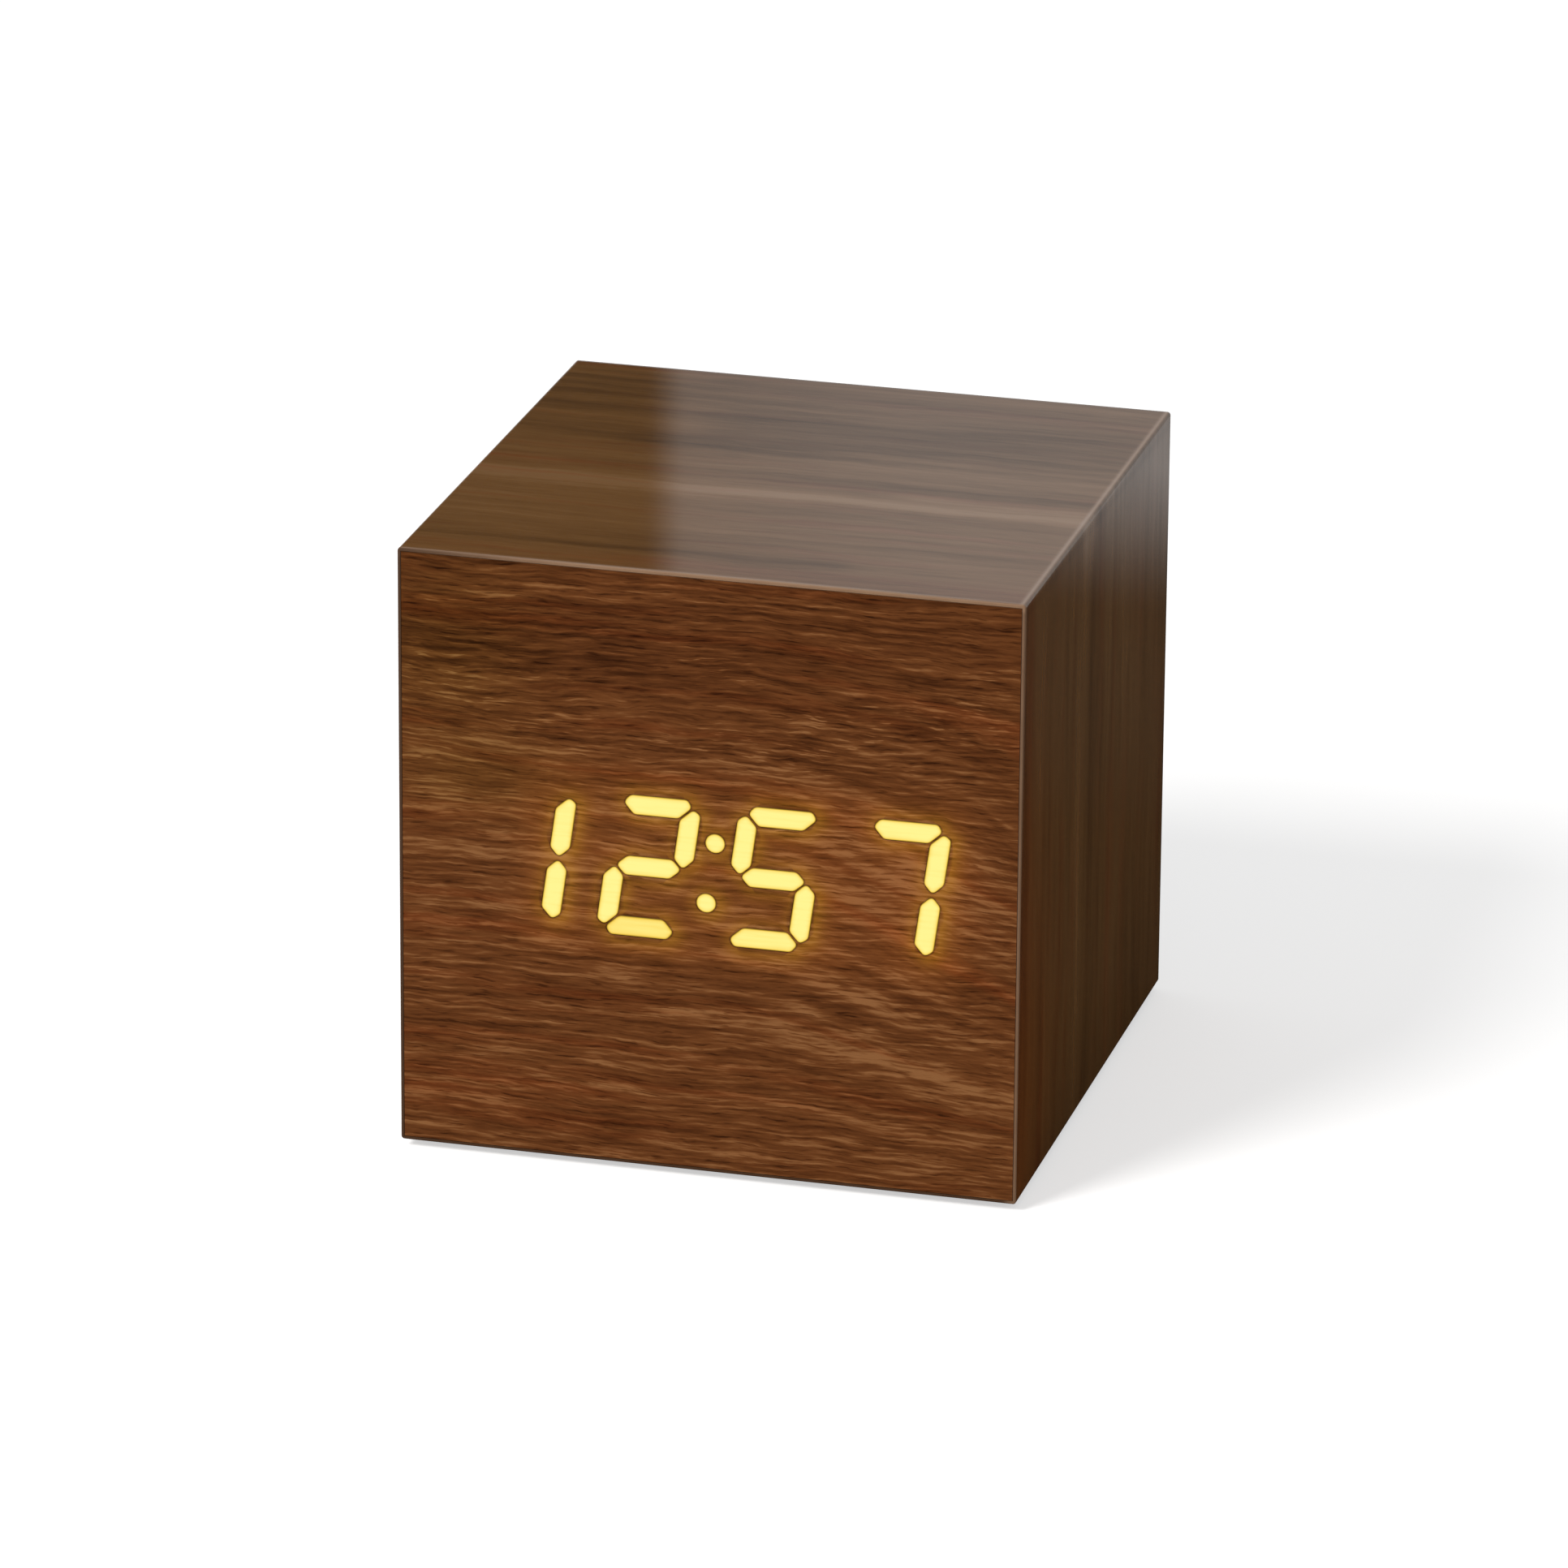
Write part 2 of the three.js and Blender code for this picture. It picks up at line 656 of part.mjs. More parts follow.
// Circuit with its pins, crystal and buzzer stand on the back of the display's board
function clockChip() {
  const x = displayX + circuitOffsetX;
  const z = ledBoardBottom + circuitInset;
  const y0 = ledBoardBack + seatGap;
  const body = block([x - circuitLength / 2, x + circuitLength / 2], [y0, y0 + circuitHeight],
    [z - circuitWidth / 2, z + circuitWidth / 2]);
  const reach = circuitWidth / 2 + circuitPinReach;
  const pins = [];
  for (let pin = 0; pin < circuitPinsPerSide; pin += 1) {
    const u = x + (pin - (circuitPinsPerSide - 1) / 2) * circuitPinPitch;
    pins.push(block([u - circuitPinWidth / 2, u + circuitPinWidth / 2], [y0, y0 + circuitPinHeight],
      [z - reach, z + reach]));
  }
  return toGeometry(joined(body, ...pins));
}

function crystal() {
  const can = rod(crystalRadius, -crystalLength / 2, crystalLength / 2, smallSides).rotateZ(Math.PI / 2);
  return can.translate(displayX + circuitOffsetX, ledBoardBack + seatGap + crystalRadius,
    ledBoardBottom + crystalInset);
}

function buzzer() {
  const y0 = ledBoardBack + seatGap;
  const y1 = y0 + buzzerHeight;
  const profile = [[0, y0], [buzzerRadius, y0], [buzzerRadius, y1 - buzzerRimWidth],
    [buzzerRadius - buzzerRimWidth, y1], [buzzerHoleRadius, y1], [buzzerHoleRadius, y1 - buzzerHoleDepth],
    [0, y1 - buzzerHoleDepth]];
  const x = displayX - displayScrewX + screwHeadRadius + buzzerScrewGap + buzzerRadius;
  return turned(profile, roundSides, x, ledBoardBottom + buzzerInset);
}

// Rear panel: a plate with the battery bay moulded into it, bosses for the key board, and its openings
const cellZ = (cell) => wellBottom + cellSideClearance + cellRadius + cell * cellPitch;
const buttonX = (button) => buttonRowStart - button * buttonPitch;
const mirroredPair = (low, high) => [[-high, -low], [low, high]];

function wellSolid() {
  const outer = wellHalfLength + wellWall;
  return block([-outer, outer], [wellFloorBack, panelInner + seatGap],
    [wellBottom - wellWall, wellTop + wellWall]);
}

function wellSaddles() {
  const saddles = [];
  for (let cell = 0; cell + 1 < cellCount; cell += 1) {
    const z = (cellZ(cell) + cellZ(cell + 1)) / 2;
    saddles.push(block([-saddleLength / 2, saddleLength / 2],
      [wellFloorTop - wellWall / 2, wellFloorTop + saddleHeight],
      [z - saddleThickness / 2, z + saddleThickness / 2]));
  }
  return saddles;
}

function wellCuts() {
  const cavity = block([-wellHalfLength, wellHalfLength], [wellFloorTop, panelOuter + cutOverrun],
    [wellBottom, wellTop]);
  const ledge = block([-wellHalfLength - doorLedge, wellHalfLength + doorLedge],
    [ledgeLevel, panelOuter + cutOverrun], [wellBottom - doorLedge, wellTop + doorLedge]);
  return [cavity, ledge];
}

function tongueSlots() {
  const reach = tongueWidth / 2 + doorGap;
  const tongueBack = panelInner - tongueLipGap - tongueThickness;
  return [-1, 1].map((side) => {
    const x = side * tongueOffset;
    return block([x - reach, x + reach], [tongueBack - tongueSwingClearance, panelInner],
      [wellBottom - wellWall - cutOverrun, wellBottom + cutOverrun]);
  });
}

function tailSlits() {
  return [[-1, 0], [1, cellCount - 1]].map(([side, cell]) => {
    const x = side * wellHalfLength;
    const inner = x - side * (contactThickness + tailClearance);
    return block([Math.min(x, inner), Math.max(x, inner)],
      [wellFloorBack - cutOverrun, wellFloorTop + cutOverrun],
      [cellZ(cell) - tailWidth / 2 - tailClearance, cellZ(cell) + tailWidth / 2 + tailClearance]);
  });
}

function panelHoles() {
  const y = [panelInner - cutOverrun, panelOuter + cutOverrun];
  const holes = buttonNames.map((name, button) =>
    rod(buttonRadius + buttonHoleGap, ...y, roundSides, buttonX(button), keyRowZ));
  holes.push(rod(socketNoseRadius + socketHoleGap, ...y, roundSides, socketOffsetX, keyRowZ));
  for (const z of panelScrewZ) {
    for (const side of [-1, 1]) {
      holes.push(rod(screwShankRadius + screwRadialGap, ...y, smallSides, side * panelScrewX, z));
      holes.push(rod(screwHeadRadius + screwHeadGap, panelOuter - counterboreDepth, panelOuter + cutOverrun,
        roundSides, side * panelScrewX, z));
    }
  }
  return holes;
}

function soundSlots() {
  const slots = [];
  for (let slot = 0; slot < slotCount; slot += 1) {
    const x = (slot - (slotCount - 1) / 2) * slotPitch;
    slots.push(block([x - slotWidth / 2, x + slotWidth / 2],
      [panelInner - cutOverrun, panelOuter + cutOverrun],
      [panelScrewZ[0] - slotHeight / 2, panelScrewZ[0] + slotHeight / 2]));
  }
  return slots;
}

function rearPanel() {
  const outline = roundedRectangle(
    -panelHalfWidth, panelHalfWidth, panelBottom, panelTop, panelCornerRadius);
  const bosses = [-1, 1].map((side) =>
    rod(keyBossRadius, keyBoardFront + seatGap, panelInner + panelThickness / 2, roundSides,
      side * keyBossOffset, keyRowZ));
  const pilots = [-1, 1].map((side) =>
    rod(screwShankRadius + screwRadialGap, keyBoardFront - cutOverrun,
      keyBoardBack + keyScrewLength + pilotSpare, smallSides, side * keyBossOffset, keyRowZ));
  const plate = extrude(outline, 'y', panelInner, panelOuter);
  const shell = cutBy(joined(plate, wellSolid(), ...bosses), ...wellCuts());
  const withSaddles = wellSaddles().map(toSolid).reduce((sum, next) => sum.add(next), shell);
  return toGeometry(cutBy(withSaddles, ...tongueSlots(), ...tailSlits(), ...panelHoles(), ...soundSlots(),
    ...pilots));
}

function rearPanelScrew(side, z) {
  return screw(side * panelScrewX, z, panelOuter - counterboreDepth + seatGap, -1,
    panelScrewLength - counterboreDepth, screwHeadRadius);
}

// Battery door: a plate with two tongues below and a springy latch tab above
function batteryDoor() {
  const plate = block([-doorHalfWidth, doorHalfWidth], [doorInner, panelOuter], [doorBottom, doorTop]);
  const middle = doorInner + doorThickness / 2;
  const tongueFront = panelInner - tongueLipGap;
  const rootTop = wellBottom + doorGap + tongueRoot;
  const tongues = [-1, 1].flatMap((side) => {
    const x = [side * tongueOffset - tongueWidth / 2, side * tongueOffset + tongueWidth / 2];
    const y0 = tongueFront - tongueThickness;
    return [
      block(x, [y0, middle], [wellBottom + doorGap, rootTop]),
      block(x, [y0, tongueFront], [doorBottom - tongueDrop, rootTop]),
    ];
  });
  const gripX = [-latchWidth / 4, latchWidth / 4];
  const catchBar = block(gripX, [doorInner, middle], [doorTop - latchLength / 2, doorTop + latchCatch]);
  const ridges = [];
  for (let ridge = 0; ridge < latchRidgeCount; ridge += 1) {
    const z = doorTop - latchRidgePitch * (ridge + 1);
    ridges.push(block(gripX, [middle, panelOuter + latchRidgeHeight],
      [z - latchRidgeWidth / 2, z + latchRidgeWidth / 2]));
  }
  const slots = mirroredPair(latchWidth / 2 - latchSlot, latchWidth / 2).map((x) =>
    block(x, [doorInner - cutOverrun, panelOuter + cutOverrun],
      [doorTop - latchLength, doorTop + cutOverrun]));
  return toGeometry(cutBy(joined(plate, ...tongues, catchBar, ...ridges), ...slots));
}

// Cells, contacts and springs: the cells point left, right and left, and join in one row
const cellSign = (cell) => (cell % 2 === 0 ? -1 : 1);

function batteryCell(cell) {
  const nubEnd = wellHalfLength - contactThickness - seatGap;
  const shoulder = nubEnd - cellNubLength;
  const base = nubEnd - cellLength;
  const profile = [[0, base], [cellRadius - cellEdge, base], [cellRadius, base + cellEdge],
    [cellRadius, shoulder - cellEdge], [cellRadius - cellEdge, shoulder], [cellNubRadius, shoulder],
    [cellNubRadius, nubEnd], [0, nubEnd]];
  const geometry = turned(profile, roundSides).rotateZ(cellSign(cell) > 0 ? -Math.PI / 2 : Math.PI / 2);
  return geometry.translate(0, cellAxisY, cellZ(cell));
}

function contactPlate(side, firstCell, lastCell, hasTail) {
  const wall = side * wellHalfLength;
  const face = wall - side * contactThickness;
  const x = [Math.min(wall, face), Math.max(wall, face)];
  const y0 = wellFloorTop + seatGap;
  const y1 = doorInner - contactDoorGap;
  const plate = block(x, [y0, y1],
    [cellZ(firstCell) - contactWidth / 2, cellZ(lastCell) + contactWidth / 2]);
  if (!hasTail) {
    return plate;
  }
  const tail = block(x, [wellFloorBack - tailReach, (y0 + y1) / 2],
    [cellZ(firstCell) - tailWidth / 2, cellZ(firstCell) + tailWidth / 2]);
  return toGeometry(joined(plate, tail));
}

// Centre line of a spring that narrows evenly from its plate to its cell
function springPoint(turn, side, cell) {
  const share = turn / springTurns;
  const start = wellHalfLength - contactThickness - seatGap - springWire / 2;
  const end = wellHalfLength - contactThickness - springLength + seatGap + springWire / 2;
  const radius = THREE.MathUtils.lerp(springBaseRadius, springTipRadius, share);
  const angle = 2 * Math.PI * turn;
  return new THREE.Vector3(side * THREE.MathUtils.lerp(start, end, share),
    cellAxisY + radius * Math.cos(angle), cellZ(cell) + radius * Math.sin(angle));
}

function batterySpring(cell) {
  const side = -cellSign(cell);
  const count = springTurns * springSteps;
  const centres = [];
  for (let step = 0; step <= count; step += 1) {
    centres.push(springPoint(step / springSteps, side, cell));
  }
  const axis = new THREE.Vector3(0, cellAxisY, cellZ(cell));
  const rings = centres.map((centre) => springRing(centre, axis, side));
  return loft(side > 0 ? rings : rings.map((ring) => ring.toReversed()));
}

// One ring of the wire: its plane holds the spring's axis, so the tube runs round without a twist
function springRing(centre, axis, side) {
  const outward = new THREE.Vector3(0, centre.y - axis.y, centre.z - axis.z).normalize();
  const ring = [];
  for (let corner = 0; corner < springSides; corner += 1) {
    const angle = 2 * Math.PI * corner / springSides;
    const along = side * springWire / 2 * Math.sin(angle);
    const out = springWire / 2 * Math.cos(angle);
    ring.push([centre.x + along, centre.y + out * outward.y, centre.z + out * outward.z]);
  }
  return ring;
}

// Least gap between turns of one spring, measured on points of its centre line
function springSelfGap() {
  const samples = [];
  const fine = springSteps * springSamplesPerStep;
  for (let step = 0; step <= springTurns * fine; step += 1) {
    samples.push(springPoint(step / fine, 1, 0));
  }
  let least = Infinity;
  samples.forEach((point, i) => {
    for (let j = i + fine / 2; j < samples.length; j += 1) {
      least = Math.min(least, point.distanceTo(samples[j]) - springWire);
    }
  });
  return least;
}

// Key board with three switches, three buttons and the power socket
function keyBoard() {
  const z = [keyBandBottom + keyBoardMargin, boardInnerTop - keyBoardMargin];
  const solid = toSolid(block([-keyBoardHalfWidth, keyBoardHalfWidth], [keyBoardBack, keyBoardFront], z));
  const holes = [-1, 1].map((side) => rod(screwShankRadius + screwRadialGap, keyBoardBack - cutOverrun,
    keyBoardFront + cutOverrun, smallSides, side * keyBossOffset, keyRowZ));
  return toGeometry(cutBy(solid, ...holes));
}

function keyBoardScrew(side) {
  return screw(
    side * keyBossOffset, keyRowZ, keyBoardBack - seatGap, 1, keyScrewLength, keyScrewHeadRadius);
}

function switchBody(button) {
  const x = buttonX(button);
  const y0 = keyBoardFront + seatGap;
  const y1 = y0 + switchHeight;
  const solid = toSolid(block([x - switchSide / 2, x + switchSide / 2], [y0, y1],
    [keyRowZ - switchSide / 2, keyRowZ + switchSide / 2]));
  const cavity = rod(stemRadius + stemGap, y1 - switchCavityDepth, y1 + cutOverrun, roundSides, x, keyRowZ);
  return toGeometry(cutBy(solid, cavity));
}

function switchStem(button) {
  const tip = keyBoardFront + seatGap + switchHeight + stemProud;
  return rod(stemRadius, tip - stemLength, tip, roundSides, buttonX(button), keyRowZ);
}

function button(index) {
  const stemTip = keyBoardFront + seatGap + switchHeight + stemProud;
  const flangeTop = panelInner - buttonFlangeGap;
  const flangeBottom = flangeTop - buttonFlangeThickness;
  const top = panelOuter + buttonProud;
  const profile = [[0, stemTip + seatGap], [stemRadius, stemTip + seatGap],
    [stemRadius, flangeBottom], [buttonFlangeRadius, flangeBottom], [buttonFlangeRadius, flangeTop],
    [buttonRadius, flangeTop], [buttonRadius, top - buttonEdge],
    [buttonRadius - buttonEdge / 3, top - buttonEdge / 3], [buttonRadius - buttonEdge, top],
    [0, top - buttonDish]];
  return turned(profile, roundSides, buttonX(index), keyRowZ);
}

function powerSocket() {
  const y0 = keyBoardFront + seatGap;
  const shoulder = panelInner - seatGap;
  const face = panelOuter - socketFaceSetback;
  const body = block([socketOffsetX - socketSide / 2, socketOffsetX + socketSide / 2], [y0, shoulder],
    [keyRowZ - socketSide / 2, keyRowZ + socketSide / 2]);
  const nose = rod(socketNoseRadius, (y0 + shoulder) / 2, face, roundSides, socketOffsetX, keyRowZ);
  const bore = rod(
    socketBoreRadius, face - socketBoreDepth, face + cutOverrun, roundSides, socketOffsetX, keyRowZ);
  return toGeometry(cutBy(joined(body, nose), bore));
}

function powerSocketPin() {
  const face = panelOuter - socketFaceSetback;
  const floor = face - socketBoreDepth + seatGap;
  const tip = face - socketPinSetback;
  const profile = [[0, floor], [socketPinRadius, floor], [socketPinRadius, tip - socketPinRadius],
    [socketPinRadius / 2, tip], [0, tip]];
  return turned(profile, smallSides, socketOffsetX, keyRowZ);
}

// Wires: each leaves its contact's tail upwards and ends square on the key board
function roundWire(start, end, shares) {
  const rise = new THREE.Vector3(0, 0, tailWidth);
  const lead = new THREE.Vector3(0, -wireLead, 0);
  const between = shares.map(([x, y, z]) => new THREE.Vector3(
    THREE.MathUtils.lerp(start.x, end.x, x), THREE.MathUtils.lerp(start.y, end.y, y),
    THREE.MathUtils.lerp(start.z, end.z, z)));
  const points = [start, start.clone().add(rise), ...between, end.clone().add(lead), end];
  const path = new THREE.CatmullRomCurve3(points, false, 'centripetal');
  const section = new THREE.Shape();
  for (let side = 0; side < wireSides; side += 1) {
    const angle = 2 * Math.PI * side / wireSides;
    const spot = [wireRadius * Math.cos(angle), wireRadius * Math.sin(angle)];
    section[side === 0 ? 'moveTo' : 'lineTo'](...spot);
  }
  return new THREE.ExtrudeGeometry(section, { steps: wireSteps, extrudePath: path });
}

function batteryWire(side, cell, routeShares) {
  const x = side * (wellHalfLength - contactThickness - wireRadius - 2 * seatGap);
  const start = new THREE.Vector3(x, wellFloorBack - wireRadius - 2 * seatGap, cellZ(cell) - tailWidth / 2);
  const end = new THREE.Vector3(side * (keyBossOffset - keyBossRadius - 2 * wireRadius),
    keyBoardBack - 2 * seatGap, keyRowZ);
  return roundWire(start, end, routeShares);
}

// Heads for the ribbon, one on each board, and the ribbon as a band that sags between them
const displayHeaderZ = ledBoardTop - headerInset;

function ribbonHeader(y0, y1, z) {
  return block([-headerWidth / 2, headerWidth / 2], [y0, y1], [z - headerHeight / 2, z + headerHeight / 2]);
}

function ribbonCable() {
  const start = ledBoardBack + seatGap + headerDepth + seatGap;
  const end = keyBoardBack - seatGap - headerDepth - seatGap;
  const middle = (start + end) / 2;
  const low = displayHeaderZ - ribbonSag;
  const curve = new THREE.CatmullRomCurve3([
    [start, displayHeaderZ], [start + ribbonLead, displayHeaderZ], [middle, low],
    [end - ribbonLead, keyRowZ], [end, keyRowZ],
  ].map(([y, z]) => new THREE.Vector3(y, z, 0)), false, 'centripetal');
  const upper = [];
  const lower = [];
  for (let step = 0; step <= ribbonSteps; step += 1) {
    const point = curve.getPoint(step / ribbonSteps);
    const along = curve.getTangent(step / ribbonSteps);
    const half = ribbonThickness / 2;
    upper.push([point.x - along.y * half, point.y + along.x * half]);
    lower.unshift([point.x + along.y * half, point.y - along.x * half]);
  }
  return extrude(shapeOf([...upper, ...lower]), 'x', -ribbonWidth / 2, ribbonWidth / 2);
}

// The whole clock, one named mesh for each piece
const clock = new THREE.Group();

function add(name, geometry, material) {
  const mesh = new THREE.Mesh(geometry, material);
  mesh.name = name;
  clock.add(mesh);
}

function addCase() {
  ['bottom', 'right', 'top', 'left'].forEach((side, index) => {
    add(`case_${side}_board`, caseWall(index, (index + 1) % 4), finishes.boards());
  });
  add('case_front_board', caseFrontBoard(), finishes.boards());
  add('grain_film_wrap', grainFilmWrap(), finishes.film());
  add('front_film', frontFilm(), finishes.film());
  let number = 0;
  for (const first of [-1, 1]) {
    for (const second of [-1, 1]) {
      number += 1;
      add(`corner_block_${number}`, cornerBlock(first, second), finishes.boards());
      add(`foot_${number}`, foot(first, second), finishes.rubber());
    }
  }
}

function addDisplay() {
  add('display_lens', displayLens(), finishes.lens());
  add('display_reflector', displayReflector(), finishes.whitePlastic());
  add('led_board', ledBoard(), finishes.circuitBoard());
  displayScrewPlaces().forEach(([x, z], index) => {
    add(`display_screw_${index + 1}`, displayScrew(x, z), finishes.steel());
  });
  add('clock_chip', clockChip(), finishes.chip());
  add('crystal', crystal(), finishes.steel());
  add('buzzer', buzzer(), finishes.blackPlastic());
  const headerBack = ledBoardBack + seatGap;
  add('display_header', ribbonHeader(headerBack, headerBack + headerDepth, displayHeaderZ),
    finishes.whitePlastic());
}

function addRear() {
  add('rear_panel', rearPanel(), finishes.blackPlastic());
  let number = 0;
  for (const z of panelScrewZ) {
    for (const side of [-1, 1]) {
      number += 1;
      add(`rear_panel_screw_${number}`, rearPanelScrew(side, z), finishes.steel());
    }
  }
  add('battery_door', batteryDoor(), finishes.blackPlastic());
  for (let cell = 0; cell < cellCount; cell += 1) {
    add(`battery_cell_${cell + 1}`, batteryCell(cell), finishes.cellWrap());
    add(`battery_spring_${cell + 1}`, batterySpring(cell), finishes.spring());
  }
  add('positive_contact', contactPlate(-1, 0, 0, true), finishes.spring());
  add('left_link_contact', contactPlate(-1, 1, 2, false), finishes.spring());
  add('right_link_contact', contactPlate(1, 0, 1, false), finishes.spring());
  add('negative_contact', contactPlate(1, cellCount - 1, cellCount - 1, true), finishes.spring());
}

function addKeys() {
  add('key_board', keyBoard(), finishes.circuitBoard());
  add('key_board_screw_1', keyBoardScrew(-1), finishes.steel());
  add('key_board_screw_2', keyBoardScrew(1), finishes.steel());
  buttonNames.forEach((name, index) => {
    add(`switch_body_${index + 1}`, switchBody(index), finishes.chip());
    add(`switch_stem_${index + 1}`, switchStem(index), finishes.whitePlastic());
    add(name, button(index), finishes.blackPlastic());
  });
  add('power_socket', powerSocket(), finishes.blackPlastic());
  add('power_socket_pin', powerSocketPin(), finishes.steel());
  add('key_header', ribbonHeader(keyBoardBack - seatGap - headerDepth, keyBoardBack - seatGap, keyRowZ),
    finishes.whitePlastic());
}

// Shares of the way from each contact to the key board, across, back and up
const redRouteShares = [[0.5, -0.45, 0.45], [0.85, -0.4, 0.8]];
const blackRouteShares = [[0.35, -0.3, 0.5], [0.8, -0.25, 0.85]];

function addWires() {
  add('battery_wire_red', batteryWire(-1, 0, redRouteShares), finishes.redWire());
  add('battery_wire_black', batteryWire(1, cellCount - 1, blackRouteShares), finishes.blackWire());
  add('ribbon_cable', ribbonCable(), finishes.ribbon());
}

addCase();
addDisplay();
addRear();
addKeys();
addWires();
console.log(`battery spring: least gap to itself ${springSelfGap().toFixed(3)} mm`);

export default clock;
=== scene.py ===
"""Looks of a cube-shaped digital clock in walnut-pattern film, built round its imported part.

All sizes are in millimetres until a mesh is made. The frame is the part's: +Z up, the front looks
along -Y, and the origin lies under the feet.
"""

import logging
import math
from dataclasses import dataclass
from enum import Enum
from typing import Callable, Optional, Sequence, Union

import bpy
import numpy as np
from bpy.types import ID, Material, NodeSocket, Object, World
from mathutils import Matrix, Vector
from mathutils.geometry import delaunay_2d_cdt


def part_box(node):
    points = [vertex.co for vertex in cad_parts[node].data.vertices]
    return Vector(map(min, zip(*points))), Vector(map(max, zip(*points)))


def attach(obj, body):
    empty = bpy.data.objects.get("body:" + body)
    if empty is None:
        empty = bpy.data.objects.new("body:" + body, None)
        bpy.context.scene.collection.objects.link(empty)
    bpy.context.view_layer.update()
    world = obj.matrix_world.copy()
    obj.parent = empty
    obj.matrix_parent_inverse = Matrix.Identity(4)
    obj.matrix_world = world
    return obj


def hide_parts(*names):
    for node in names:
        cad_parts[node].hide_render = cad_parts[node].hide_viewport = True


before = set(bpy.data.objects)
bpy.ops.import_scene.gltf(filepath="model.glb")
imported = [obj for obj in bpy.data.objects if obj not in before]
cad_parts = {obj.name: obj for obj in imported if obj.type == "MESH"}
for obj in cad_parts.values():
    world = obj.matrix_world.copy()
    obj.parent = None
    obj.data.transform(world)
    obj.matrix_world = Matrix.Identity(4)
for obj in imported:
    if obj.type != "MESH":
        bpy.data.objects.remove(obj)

MM = 0.001
UV_NAME = "grain"
UV_SCALE = 0.01
GLOWS = ("glow_wide", "glow_near")
POLE = 0.02  # radius of the ring that all but closes a turned piece
log = logging.getLogger("scene")

Span = tuple[float, float]
Colour = tuple[float, float, float]
Rings = np.ndarray


class Blend(Enum):
    """Ways that two colours mix."""

    MIX = "MIX"
    MULTIPLY = "MULTIPLY"
    ADD = "ADD"


class Axis(Enum):
    """Where a turned piece's axis points: quarter turns from +Z, and the axis they go about."""

    UP = (0, "X")
    BACK = (-1, "X")
    RIGHT = (1, "Y")
    LEFT = (-1, "Y")

    def turn(self) -> np.ndarray:
        """Matrix that takes +Z to the axis."""
        quarters, about = self.value
        return np.array(Matrix.Rotation(quarters * math.pi / 2, 3, about))


class Bar(Enum):
    """Bars of a digit, lettered clockwise from the top, as steps across and up to their middles."""

    A = (0, 2)
    B = (1, 1)
    C = (1, -1)
    D = (0, -2)
    E = (-1, -1)
    F = (-1, 1)
    G = (0, 0)


# Shader maths

class Shade:
    """One output of a material's node tree, which sums and products extend with Math nodes."""

    def __init__(self, paint: "Paint", socket: Optional[NodeSocket]) -> None:
        """Keeps the output that this value stands for, and the builder of its tree."""
        self.paint = paint
        self.socket = socket

    def math(self, operation: str, *values: "Value") -> "Shade":
        """Output of one more Math node, with the values as its inputs in order."""
        return self.paint.node("ShaderNodeMath", {"operation": operation}, dict(enumerate(values)))

    def __add__(self, other: "Value") -> "Shade":
        """Sum."""
        return self.math("ADD", self, other)

    def __sub__(self, other: "Value") -> "Shade":
        """Difference."""
        return self.math("SUBTRACT", self, other)

    def __rsub__(self, other: "Value") -> "Shade":
        """Difference, from the right."""
        return self.math("SUBTRACT", other, self)

    def __mul__(self, other: "Value") -> "Shade":
        """Product."""
        return self.math("MULTIPLY", self, other)

    def __truediv__(self, other: "Value") -> "Shade":
        """Quotient."""
        return self.math("DIVIDE", self, other)

    def __pow__(self, other: "Value") -> "Shade":
        """Power."""
        return self.math("POWER", self, other)

    __radd__ = __add__
    __rmul__ = __mul__

    def step(self, low: float, high: float) -> "Shade":
        """Rises smoothly from 0 at low to 1 at high, or falls where high is below low."""
        ranged = {"From Min": low, "From Max": high, "Value": self}
        return self.paint.node("ShaderNodeMapRange", {"interpolation_type": "SMOOTHSTEP"}, ranged)

    def bell(self, centre: float, width: float) -> "Shade":
        """Bump of height 1 about a centre: exp(-((value - centre) / width) squared)."""
        off = (self - centre) * (1 / width)
        return self.math("EXPONENT", off * off * -1.0)


Value = Union[Shade, float, Sequence[float]]


